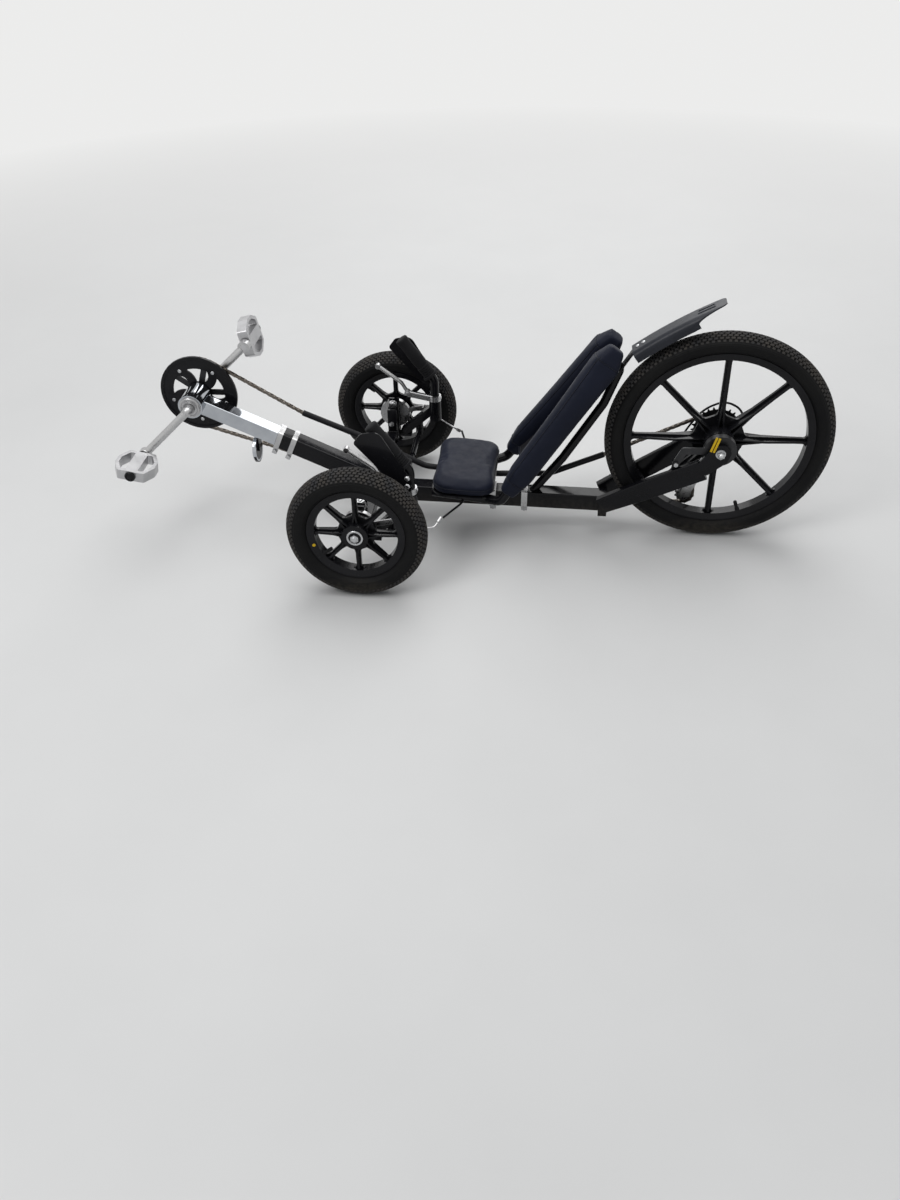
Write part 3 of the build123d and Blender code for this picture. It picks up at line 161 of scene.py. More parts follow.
DARK_STEEL = Finish("dark_steel", (0.030, 0.030, 0.032), (0.05, 0.05, 0.052), (0.30, 0.46), Grain.CAST,
                    metallic=0.7, depth=0.00004, wear=0.5, wear_colour=(0.20, 0.19, 0.18))
CHAIN_STEEL = Finish("chain_steel", (0.20, 0.18, 0.16), (0.10, 0.085, 0.07), (0.26, 0.46), Grain.BRUSHED,
                     metallic=0.95, patch=90.0, depth=0.00002, wear=0.5, wear_colour=(0.11, 0.065, 0.04))
GRIP_RUBBER = Finish("grip_rubber", (0.008, 0.008, 0.009), (0.014, 0.014, 0.015), (0.55, 0.75),
                     Grain.RUBBER, depth=0.00006)
TYRE_WALL = Finish("tyre_wall", (0.004, 0.004, 0.0045), (0.0065, 0.0065, 0.0065), (0.48, 0.66),
                   Grain.RUBBER, depth=0.00006, wear=0.4, wear_colour=(0.035, 0.032, 0.03), dust=0.05)
TYRE_TREAD = Finish("tyre_tread", (0.034, 0.035, 0.038), (0.062, 0.056, 0.050), (0.60, 0.82),
                    Grain.RUBBER, patch=40.0, depth=0.00010, wear=0.7, wear_colour=(0.07, 0.06, 0.05),
                    dust=0.03)
VINYL = Finish("vinyl", (0.0062, 0.0080, 0.0165), (0.0095, 0.0120, 0.0240), (0.44, 0.62), Grain.VINYL,
               sheen=0.04, patch=9.0, depth=0.00010)
SLING = Finish("sling", (0.005, 0.005, 0.008), (0.009, 0.009, 0.012), (0.60, 0.80), Grain.WEAVE,
               sheen=0.15, patch=12.0, depth=0.00022)
# Piping and hems: a navy a little lighter than the vinyl. The lighter colour is a painted highlight along the
# raised seam ridges, on top of the light that the ridges' own shape catches.
PIPING_PAINTED_HIGHLIGHT = Finish("piping", (0.007, 0.0085, 0.0145), (0.012, 0.014, 0.022), (0.40, 0.58), Grain.WEAVE,
                sheen=0.1, patch=30.0, depth=0.00008)
LENS = Finish("lens", (0.70, 0.72, 0.73), (0.60, 0.62, 0.64), (0.06, 0.16), Grain.CLEAR, coat=0.8,
              depth=0.0002)
YELLOW = Finish("yellow", (0.78, 0.52, 0.02), (0.66, 0.42, 0.02), (0.34, 0.50), Grain.MOULDED,
                depth=0.00003, wear=0.5, wear_colour=(0.30, 0.22, 0.04))
FLOOR = Finish("floor", (0.68, 0.68, 0.675), (0.65, 0.65, 0.645), (0.6, 0.8), Grain.MOULDED, patch=1.2,
               depth=0.0001)

NODE_FINISHES = {
    CHROME: ("boom",),
    SILVER: ("bearing_cups", "boom_clamps", "crank", "seat_straps", "derailleur", "front_brake_left",
             "front_brake_right", "brake_lever_left", "brake_lever_right", "brake_noodle_left",
             "brake_noodle_right"),
    CAGE_SILVER: ("pedal_left", "pedal_right"),
    ZINC: ("kingpins", "rear_axle"),
    GLOSS_BLACK: ("main_tube", "cross_member", "rear_fork", "seat_rails", "knuckle_left", "knuckle_right",
                  "bar_left", "bar_right", "mudguard_bracket", "tie_rod"),
    WHEEL_BLACK: ("front_rim_left", "front_rim_right", "rear_rim"),
    GUARD_BLACK: ("guard_disc", "hand_guard_left", "hand_guard_right", "seat_pan", "front_reflector"),
    FENDER_BLACK: ("mudguard",),
    TUBE_BLACK: ("chain_tubes",),
    CABLE_BLACK: ("cable_brake_left", "cable_brake_right", "cable_gear"),
    DARK_STEEL: ("chainring", "freewheel", "rear_brake"),
    YELLOW: ("brake_tag",),
}


class Board:
    """Adds and links the nodes of one shader tree."""

    def __init__(self, tree: bpy.types.NodeTree) -> None:
        """Start on a tree.

        Args:
            tree: Node tree of a material, group or world.
        """
        self.tree = tree

    def add(self, kind: str, inputs: Optional[dict[Union[str, int], Any]] = None,
            **settings: Any) -> bpy.types.Node:
        """Add a node.

        Args:
            kind: Type of the node.
            inputs: Value or source socket of each input, by its name or number.
            settings: The node's own settings.

        Returns:
            The node.
        """
        node = self.tree.nodes.new(kind)
        for name, value in settings.items():
            setattr(node, name, value)
        for name, value in (inputs or {}).items():
            if isinstance(value, bpy.types.NodeSocket):
                self.tree.links.new(value, node.inputs[name])
            elif isinstance(value, tuple) and node.inputs[name].type == "RGBA":
                node.inputs[name].default_value = (*value, 1.0)
            else:
                node.inputs[name].default_value = value
        return node

    def scaled(self, place: Socket, factors: tuple[float, float, float]) -> Socket:
        """Coordinates stretched by axis.

        Args:
            place: Coordinates.
            factors: Factor along X, Y and Z.

        Returns:
            The stretched coordinates.
        """
        return self.add("ShaderNodeMapping", {"Vector": place, "Scale": factors}).outputs["Vector"]

    def noise(self, place: Socket, scale: Union[Socket, float], detail: float = 3.0,
              rough: float = 0.55) -> Socket:
        """Noise value.

        Args:
            place: Coordinates.
            scale: Features per metre.
            detail: Number of octaves.
            rough: Weight of the finer octaves.

        Returns:
            The value.
        """
        inputs = {"Vector": place, "Scale": scale, "Detail": detail, "Roughness": rough}
        return self.add("ShaderNodeTexNoise", inputs).outputs[0]

    def spread(self, value: Socket, low: float, high: float, out_low: float,
               out_high: Union[Socket, float]) -> Socket:
        """Map a value from one range to another, clamped.

        Args:
            value: Input.
            low: Input that gives out_low.
            high: Input that gives out_high.
            out_low: Result at low.
            out_high: Result at high.

        Returns:
            The value.
        """
        inputs = {"Value": value, "From Min": low, "From Max": high, "To Min": out_low, "To Max": out_high}
        return self.add("ShaderNodeMapRange", inputs).outputs["Result"]

    def sum(self, operation: str, first: Socket, second: Union[Socket, float]) -> Socket:
        """Join two values by arithmetic.

        Args:
            operation: Name of the operation.
            first: First value.
            second: Second value.

        Returns:
            The value.
        """
        return self.add("ShaderNodeMath", {0: first, 1: second}, operation=operation).outputs[0]

    def blend(self, share: Socket, first: Union[Socket, Colour], second: Union[Socket, Colour]) -> Socket:
        """Mix two colours.

        Args:
            share: 0 for first and 1 for second.
            first: First colour.
            second: Second colour.

        Returns:
            The colour.
        """
        return self.add("ShaderNodeMix", {0: share, 6: first, 7: second}, data_type="RGBA").outputs[2]

    def relief(self, height: Socket, distance: Union[Socket, float], strength: float,
               below: Optional[Socket] = None) -> Socket:
        """Add a layer of relief.

        Args:
            height: Height value.
            distance: Metres that a height of 1 stands for.
            strength: Share of the effect.
            below: Normal of the layer below.

        Returns:
            The normal.
        """
        inputs = {"Height": height, "Distance": distance, "Strength": strength}
        if below is not None:
            inputs["Normal"] = below
        return self.add("ShaderNodeBump", inputs).outputs["Normal"]


class Effects:
    """Node groups that the materials share, each built once."""

    FLOAT = "NodeSocketFloat"
    VECTOR = "NodeSocketVector"

    def __init__(self) -> None:
        """Build every group."""
        self.drift = self._drift()
        self.scuffs = self._scuffs()
        self.dust = self._dust()
        self.grain = self._grain()
        self.lines = self._lines()
        self.hide = self._hide()
        self.cloth = self._cloth()

    def _start(self, name: str, inputs: Sequence[tuple[str, str]],
               outputs: Sequence[tuple[str, str]]) -> tuple[Board, bpy.types.Node, bpy.types.Node]:
        """Start a group.

        Args:
            name: Name of the group.
            inputs: Name and kind of each input.
            outputs: Name and kind of each output.

        Returns:
            The board, the group's input node and its output node.
        """
        tree = bpy.data.node_groups.new(name, "ShaderNodeTree")
        for side, rows in (("INPUT", inputs), ("OUTPUT", outputs)):
            for label, kind in rows:
                tree.interface.new_socket(name=label, in_out=side, socket_type=kind)
        board = Board(tree)
        return board, board.add("NodeGroupInput"), board.add("NodeGroupOutput")

    def _drift(self) -> bpy.types.NodeTree:
        """Slow colour drift and finer smudges.

        Returns:
            The group's node tree.
        """
        board, given, out = self._start("drift", (("Place", self.VECTOR), ("Patches", self.FLOAT)),
                                        (("Drift", self.FLOAT), ("Smudge", self.FLOAT)))
        broad = board.noise(given.outputs["Place"], given.outputs["Patches"], 4.0, 0.6)
        finer = board.sum("MULTIPLY", given.outputs["Patches"], 7.0)
        fine = board.noise(given.outputs["Place"], finer, 5.0, 0.65)
        board.tree.links.new(board.spread(broad, 0.32, 0.68, 0.0, 1.0), out.inputs["Drift"])
        board.tree.links.new(board.spread(fine, 0.3, 0.7, 0.0, 1.0), out.inputs["Smudge"])
        return board.tree

    def _scuffs(self) -> bpy.types.NodeTree:
        """Thin worn marks.

        Returns:
            The group's node tree.
        """
        board, given, out = self._start("scuffs", (("Place", self.VECTOR), ("Share", self.FLOAT)),
                                        (("Mask", self.FLOAT),))
        streaks = board.noise(board.scaled(given.outputs["Place"], (1.0, 1.7, 1.3)), 160.0, 6.0, 0.75)
        mask = board.spread(streaks, 0.60, 0.74, 0.0, given.outputs["Share"])
        board.tree.links.new(mask, out.inputs["Mask"])
        return board.tree

    def _dust(self) -> bpy.types.NodeTree:
        """Dust that lies up to a height above the floor.

        Returns:
            The group's node tree.
        """
        board, given, out = self._start("low_dust", (("Place", self.VECTOR), ("Reach", self.FLOAT),
                                                     ("Smudge", self.FLOAT)), (("Mask", self.FLOAT),))
        apart = board.add("ShaderNodeSeparateXYZ", {0: given.outputs["Place"]})
        height = board.sum("DIVIDE", apart.outputs["Z"], given.outputs["Reach"])
        low = board.spread(height, 0.0, 1.0, 0.45, 0.0)
        board.tree.links.new(board.sum("MULTIPLY", low, given.outputs["Smudge"]), out.inputs["Mask"])
        return board.tree

    def _grain(self) -> bpy.types.NodeTree:
        """Even fine grain over coarser unevenness.

        Returns:
            The group's node tree.
        """
        board, given, out = self._start("fine_grain", (("Place", self.VECTOR), ("Scale", self.FLOAT),
                                                       ("Depth", self.FLOAT)), (("Normal", self.VECTOR),))
        coarse_scale = board.sum("MULTIPLY", given.outputs["Scale"], 0.12)
        coarse = board.noise(given.outputs["Place"], coarse_scale, 3.0, 0.55)
        normal = board.relief(coarse, given.outputs["Depth"], 0.35)
        fine = board.noise(given.outputs["Place"], given.outputs["Scale"], 3.0, 0.6)
        board.tree.links.new(board.relief(fine, given.outputs["Depth"], 0.55, normal), out.inputs["Normal"])
        return board.tree

    def _lines(self) -> bpy.types.NodeTree:
        """Fine lines that brushing leaves.

        Returns:
            The group's node tree.
        """
        board, given, out = self._start("brushed_lines", (("Place", self.VECTOR), ("Depth", self.FLOAT)),
                                        (("Normal", self.VECTOR),))
        lines = board.noise(board.scaled(given.outputs["Place"], (0.25, 6.0, 6.0)), 300.0, 3.0, 0.6)
        board.tree.links.new(board.relief(lines, given.outputs["Depth"], 0.5), out.inputs["Normal"])
        return board.tree

    def _hide(self) -> bpy.types.NodeTree:
        """Coated fabric: pebbled cells over soft folds.

        Returns:
            The group's node tree.
        """
        board, given, out = self._start("coated_hide", (("Place", self.VECTOR), ("Depth", self.FLOAT)),
                                        (("Normal", self.VECTOR),))
        folds = board.relief(board.noise(given.outputs["Place"], 24.0, 3.0, 0.5), 0.0016, 0.30)
        cells = board.add("ShaderNodeTexVoronoi", {"Vector": given.outputs["Place"], "Scale": 900.0})
        normal = board.relief(cells.outputs["Distance"], given.outputs["Depth"], 0.6, folds)
        board.tree.links.new(normal, out.inputs["Normal"])
        return board.tree

    def _cloth(self) -> bpy.types.NodeTree:
        """Plain weave, as crossed bands.

        Returns:
            The group's node tree.
        """
        board, given, out = self._start("plain_weave", (("Place", self.VECTOR), ("Depth", self.FLOAT)),
                                        (("Normal", self.VECTOR),))
        bands = []
        for direction in ("X", "Y", "Z"):
            wave = board.add("ShaderNodeTexWave", {"Vector": given.outputs["Place"], "Scale": 110.0,
                                                   "Distortion": 0.6}, bands_direction=direction)
            bands.append(wave.outputs["Fac"])
        across = board.sum("MAXIMUM", bands[0], bands[2])
        normal = board.relief(board.sum("MULTIPLY", across, bands[1]), given.outputs["Depth"], 0.7)
        board.tree.links.new(normal, out.inputs["Normal"])
        return board.tree


class Paintbox:
    """Makes each finish's material once and hands it out."""

    GRAIN_SCALES = {Grain.PAINT: 420.0, Grain.MOULDED: 1300.0, Grain.POLISHED: 60.0, Grain.CAST: 900.0,
                    Grain.RUBBER: 1400.0, Grain.CLEAR: 300.0}

    def __init__(self) -> None:
        """Build the shared effects and start with no materials."""
        self.effects = Effects()
        self.made: dict[Finish, bpy.types.Material] = {}

    def material(self, finish: Finish) -> bpy.types.Material:
        """The material of a finish.

        Args:
            finish: The finish wanted.

        Returns:
            The Blender material.
        """
        if finish not in self.made:
            self.made[finish] = self._build(finish)
        return self.made[finish]

    def _group(self, board: Board, tree: bpy.types.NodeTree, inputs: dict[str, Any]) -> bpy.types.Node:
        """Place a shared effect in a material.

        Args:
            board: Board of the material.
            tree: The effect's group.
            inputs: Values or sockets of its inputs.

        Returns:
            The group node.
        """
        node = board.add("ShaderNodeGroup", None, node_tree=tree)
        for name, value in inputs.items():
            if isinstance(value, bpy.types.NodeSocket):
                board.tree.links.new(value, node.inputs[name])
            else:
                node.inputs[name].default_value = value
        return node

    def _build(self, finish: Finish) -> bpy.types.Material:
        """Build a finish's node tree.

        Args:
            finish: The finish to build.

        Returns:
            The Blender material.
        """
        material = bpy.data.materials.new(finish.name)
        material.use_nodes = True
        board = Board(material.node_tree)
        board.tree.nodes.clear()
        place = board.add("ShaderNodeTexCoord").outputs["Object"]
        drift = self._group(board, self.effects.drift, {"Place": place, "Patches": finish.patch})
        colour = board.blend(drift.outputs["Drift"], finish.colour, finish.accent)
        if finish.wear:
            scuffs = self._group(board, self.effects.scuffs, {"Place": place, "Share": finish.wear})
            colour = board.blend(scuffs.outputs["Mask"], colour, finish.wear_colour)
        if finish.dust:
            lying = self._group(board, self.effects.dust, {"Place": place, "Reach": finish.dust,
                                                           "Smudge": drift.outputs["Smudge"]})
            colour = board.blend(lying.outputs["Mask"], colour, DUST_COLOUR)
        rough = board.spread(drift.outputs["Smudge"], 0.0, 1.0, finish.rough[0], finish.rough[1])
        shader = board.add("ShaderNodeBsdfPrincipled", {
            "Base Color": colour, "Roughness": rough, "Metallic": finish.metallic, "Coat Weight": finish.coat,
            "Coat Roughness": 0.08, "Sheen Weight": finish.sheen, "Sheen Roughness": 0.4,
            "Specular IOR Level": finish.specular, "Normal": self._normal(board, place, finish)})
        surface = shader.outputs["BSDF"]
        if finish is FLOOR:
            surface = self._far(board, place, surface)
        board.add("ShaderNodeOutputMaterial", {"Surface": surface})
        return material

    def _normal(self, board: Board, place: Socket, finish: Finish) -> Socket:
        """Relief of a finish's grain.

        Args:
            board: Board of the material.
            place: Object coordinates.
            finish: The finish being built.

        Returns:
            The normal.
        """
        inputs = {"Place": place, "Depth": finish.depth}
        trees = {Grain.BRUSHED: self.effects.lines, Grain.VINYL: self.effects.hide,
                 Grain.WEAVE: self.effects.cloth}
        tree = trees.get(finish.grain, self.effects.grain)
        if tree is self.effects.grain:
            inputs["Scale"] = self.GRAIN_SCALES[finish.grain]
        return self._group(board, tree, inputs).outputs["Normal"]

    def _far(self, board: Board, place: Socket, near: Socket) -> Socket:
        """Run the floor into the surroundings far from the object.

        Args:
            board: Board of the floor's material.
            place: Object coordinates.
            near: Shader of the floor near the object.

        Returns:
            The joined shader.
        """
        away = board.add("ShaderNodeVectorMath", {0: place}, operation="LENGTH").outputs["Value"]
        share = board.spread(away, *FLOOR_FADE, 0.0, 1.0)
        rays = board.add("ShaderNodeLightPath")
        seen = board.sum("MAXIMUM", rays.outputs["Is Camera Ray"], rays.outputs["Is Glossy Ray"])
        seen = board.sum("MAXIMUM", seen, rays.outputs["Is Transmission Ray"])
        glow = board.add("ShaderNodeEmission", {"Color": SURROUNDINGS})
        mixed = board.add("ShaderNodeMixShader", {0: board.sum("MULTIPLY", share, seen), 1: near,
                                                  2: glow.outputs[0]})
        return mixed.outputs[0]


def facing(origin: Sequence[float], axis: Sequence[float], hint: Sequence[float] = (1.0, 0.0, 0.0)) -> Matrix:
    """Placement whose local Z points along an axis.

    Args:
        origin: Where the placement's origin lies.
        axis: Direction of local Z.
        hint: Direction that local X is near to.

    Returns:
        The 4 by 4 matrix.
    """
    z = Vector(axis).normalized()
    x = Vector(hint) - z * Vector(hint).dot(z)
    x = x.normalized() if x.length > 1e-6 else z.orthogonal().normalized()
    turn = Matrix((x, z.cross(x), z)).transposed().to_4x4()
    return Matrix.Translation(Vector(origin)) @ turn


def arc_points(first: Sequence[float], middle: Sequence[float], last: Sequence[float],
               count: int) -> list[tuple[float, float]]:
    """Points along the circle through three points of a plane.

    Args:
        first: Start point.
        middle: Point that the arc passes.
        last: End point.
        count: Number of steps.

    Returns:
        The points, both ends included.
    """
    (ax, ay), (bx, by), (cx, cy) = first, middle, last
    scale = 2.0 * (ax * (by - cy) + bx * (cy - ay) + cx * (ay - by))
    a2, b2, c2 = ax * ax + ay * ay, bx * bx + by * by, cx * cx + cy * cy
    ux = (a2 * (by - cy) + b2 * (cy - ay) + c2 * (ay - by)) / scale
    uy = (a2 * (cx - bx) + b2 * (ax - cx) + c2 * (bx - ax)) / scale
    radius = math.hypot(ax - ux, ay - uy)
    angles = [math.atan2(y - uy, x - ux) for x, y in (first, middle, last)]
    span = (angles[2] - angles[0]) % FULL_TURN
    if (angles[1] - angles[0]) % FULL_TURN > span:
        span -= FULL_TURN
    turns = [angles[0] + span * i / count for i in range(count + 1)]
    return [(ux + radius * math.cos(a), uy + radius * math.sin(a)) for a in turns]


def turned(profile: Sequence[tuple[float, float]], steps: int = 32,
           closed: bool = False) -> bmesh.types.BMesh:
    """Profile of (radius, height) spun round Z.

    Args:
        profile: Points of the profile.
        steps: Steps in the full turn.
        closed: Whether the last point joins the first.

    Returns:
        The bmesh.
    """
    bm = bmesh.new()
    verts = [bm.verts.new((radius, 0.0, height)) for radius, height in profile]
    pairs = list(zip(verts, verts[1:]))
    if closed:
        pairs.append((verts[-1], verts[0]))
    edges = [bm.edges.new(pair) for pair in pairs]
    bmesh.ops.spin(bm, geom=verts + edges, cent=(0.0, 0.0, 0.0), axis=(0.0, 0.0, 1.0), angle=FULL_TURN,
                   steps=steps, use_merge=True)
    return bm


def plate(outline: Sequence[tuple[float, float]], thickness: float,
          rounding: float = 0.0) -> bmesh.types.BMesh:
    """Flat outline extruded along Z from 0.

    Args:
        outline: Corners of the outline.
        thickness: Height of the extrusion.
        rounding: Width of the bevel on its sharp edges.

    Returns:
        The bmesh.
    """
    bm = bmesh.new()
    face = bm.faces.new([bm.verts.new((x, y, 0.0)) for x, y in outline])
    grown = bmesh.ops.extrude_face_region(bm, geom=[face])
    raised = [item for item in grown["geom"] if isinstance(item, bmesh.types.BMVert)]
    bmesh.ops.translate(bm, vec=(0.0, 0.0, thickness), verts=raised)
    if rounding:
        round_edges(bm, rounding)
    return bm


def drum(low_radius: float, high_radius: float, height: float, sides: int = 32) -> bmesh.types.BMesh:
    """Cylinder or cone standing on Z = 0.

    Args:
        low_radius: Radius at its foot.
        high_radius: Radius at its top.
        height: Height.
        sides: Number of sides.

    Returns:
        The bmesh.
    """
    bm = bmesh.new()
    bmesh.ops.create_cone(bm, cap_ends=True, segments=sides, radius1=low_radius, radius2=high_radius,
                          depth=height, matrix=Matrix.Translation((0.0, 0.0, height / 2)))
    return bm


def round_edges(bm: bmesh.types.BMesh, width: float, angle: float = 30.0, segments: int = 2) -> None:
    """Round the edges that are sharper than an angle.

    Args:
        bm: The bmesh.
        width: Width of the rounding.
        angle: Smallest angle in degrees.
        segments: Number of faces across it.
    """
    bmesh.ops.recalc_face_normals(bm, faces=bm.faces)
    limit = math.radians(angle)
    edges = [e for e in bm.edges if len(e.link_faces) == 2 and e.calc_face_angle(0.0) > limit]
    bmesh.ops.bevel(bm, geom=edges, offset=width, segments=segments, affect="EDGES", profile=0.5, material=-1)


def path_frames(points: Sequence[Sequence[float]], closed: bool = False) -> list[Matrix]:
    """Placements along a path, local Z ahead, with no twist between neighbours.

    Args:
        points: Points of the path.
        closed: Whether the last point joins the first.

    Returns:
        One matrix for each point.
    """
    line = [Vector(p) for p in points]
    last = len(line) - 1
    frames, side = [], None
    for i, point in enumerate(line):
        ahead = line[(i + 1) % len(line)] if closed or i < last else line[i]
        behind = line[i - 1] if closed or i > 0 else line[i]
        along = (ahead - behind).normalized()
        side = along.orthogonal() if side is None else side
        frames.append(facing(point, along, side))
        side = frames[-1].to_3x3() @ Vector((1.0, 0.0, 0.0))
    return frames


def swept(points: Sequence[Sequence[float]], radius: Union[float, Sequence[float]], sides: int = 10,
          closed: bool = False) -> bmesh.types.BMesh:
    """Round rod extruded step by step along points.

    Args:
        points: Points of its centre line.
        radius: Radius, or one for each point.
        sides: Number of sides.
        closed: Whether the last point joins the first.

    Returns:
        The bmesh.
    """
    frames = path_frames(points, closed)
    radii = [radius] * len(frames) if isinstance(radius, float) else list(radius)
    bm = bmesh.new()
    made = bmesh.ops.create_circle(bm, cap_ends=False, segments=sides, radius=1.0)
    ring = made["verts"]
    edges = list({edge for vert in ring for edge in vert.link_edges})
    first = list(edges)
    now = Matrix.Identity(4)
    for i, frame in enumerate(frames):
        target = frame @ Matrix.Diagonal((radii[i], radii[i], 1.0, 1.0))
        if i:
            grown = bmesh.ops.extrude_edge_only(bm, edges=edges)
            ring = [item for item in grown["geom"] if isinstance(item, bmesh.types.BMVert)]
            edges = [item for item in grown["geom"] if isinstance(item, bmesh.types.BMEdge)]
        bmesh.ops.transform(bm, matrix=target @ now.inverted(), verts=ring)
        now = target
    if closed:
        bmesh.ops.bridge_loops(bm, edges=first + edges)
    else:
        bmesh.ops.edgeloop_fill(bm, edges=first)
        bmesh.ops.edgeloop_fill(bm, edges=edges)
    return bm


class Shape:
    """A mesh put together from stamped parts, in the trike's own axes."""

    def __init__(self) -> None:
        """Start empty."""
        self.bm = bmesh.new()

    def stamp(self, part: bmesh.types.BMesh, places: Union[Matrix, Sequence[Matrix]] = Matrix.Identity(4),
              slot: int = 0) -> None:
        """Add a part once or more often and free it.

        Args:
            part: The part, about its own origin.
            places: Placement, or one for each copy.
            slot: Material index of its faces.
        """
        bmesh.ops.remove_doubles(part, verts=part.verts, dist=1e-6)
        bmesh.ops.recalc_face_normals(part, faces=part.faces)
        for face in part.faces:
            face.material_index = slot
        mesh = bpy.data.meshes.new("stamp")
        part.to_mesh(mesh)
        part.free()
        for place in [places] if isinstance(places, Matrix) else places:
            copy = mesh.copy()
            copy.transform(place)
            if place.is_negative:
                copy.flip_normals()
            self.bm.from_mesh(copy)
            bpy.data.meshes.remove(copy)
        bpy.data.meshes.remove(mesh)

    def mesh(self, name: str, sharp: float = 32.0) -> bpy.types.Mesh:
        """Write the shape to a mesh with smooth faces and sharp creases.

        Args:
            name: Name of the mesh.
            sharp: Angle in degrees from which an edge stays sharp.

        Returns:
            The Blender mesh.
        """
        limit = math.radians(sharp)
        for face in self.bm.faces:
            face.smooth = True
        for edge in self.bm.edges:
            edge.smooth = len(edge.link_faces) == 2 and edge.calc_face_angle(0.0) < limit
        mesh = bpy.data.meshes.new(name)
        self.bm.to_mesh(mesh)
        self.bm.free()
        return mesh


class Workshop:
    """Turns shapes into pieces that ride on the frame's bodies."""

    def __init__(self, paint: Paintbox) -> None:
        """Remember where materials come from.

        Args:
            paint: The Paintbox.
        """
        self.paint = paint

    def link(self, mesh: bpy.types.Mesh, name: str, body: str, finishes: Sequence[Finish], slot: str,
             replaces: Sequence[str] = ()) -> bpy.types.Object:
        """Put a mesh into the scene as a piece.

        Args:
            mesh: The Blender mesh.
            name: Name of the piece.
            body: Body that it rides on.
            finishes: Finish of each material index.
            slot: The record's material slot; not used.
            replaces: Nodes that it stands for.

        Returns:
            The object.
        """
        piece = bpy.data.objects.new(name, mesh)
        bpy.context.scene.collection.objects.link(piece)
        for finish in finishes:
            mesh.materials.append(self.paint.material(finish))
        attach(piece, body)
        if replaces:
            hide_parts(*replaces)
        LOG.info("%s: %d faces on %s", name, len(mesh.polygons), body)
        return piece

    def piece(self, shape: Shape, name: str, body: str, finishes: Sequence[Finish], slot: str,
              replaces: Sequence[str] = (), sharp: float = 32.0) -> bpy.types.Object:
        """Finish a shape as a piece.

        Args:
            shape: The Shape.
            name: Name of the piece.
            body: Body that it rides on.
            finishes: Finish of each material index.
            slot: The record's material slot.
            replaces: Nodes that it stands for.
            sharp: Angle in degrees from which an edge stays sharp.

        Returns:
            The object.
        """
        return self.link(shape.mesh(name, sharp), name, body, finishes, slot, replaces)


@dataclass(frozen=True)
class Layout:
    """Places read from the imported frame.

    Attributes:
        axle_x: Station of the front axle.
        joints: Joint facts by name.
    """

    axle_x: float
    joints: dict[str, dict[str, Any]]

    @classmethod
    def read(cls, frame: dict[str, Any]) -> "Layout":
        """Read the layout.

        Args:
            frame: What the frame loader gave.

        Returns:
            The Layout.
        """
        joints = {joint["name"]: joint for joint in frame["joints"]}
        return cls(joints["steer_left"]["pos_m"][0], joints)

    def at(self, x: float, y: float, z: float) -> Vector:
        """Point from a station in millimetres.

        Args:
            x: Distance behind the front axle.
            y: Distance to the right.
            z: Height.

        Returns:
            The point in the frame's axes, in metres.
        """
        return Vector((self.axle_x + x / 1000.0, y / 1000.0, z / 1000.0))

    def hub(self, joint: str) -> Matrix:
        """Placement of a wheel, with local Z outboard.

        Args:
            joint: Name of its hinge.

        Returns:
            The 4 by 4 matrix.
        """
        facts = self.joints[joint]
        axis = (0.0, -1.0, 0.0) if joint == "rear_wheel_spin" else facts["axis"]
        return facing(facts["pos_m"], axis)


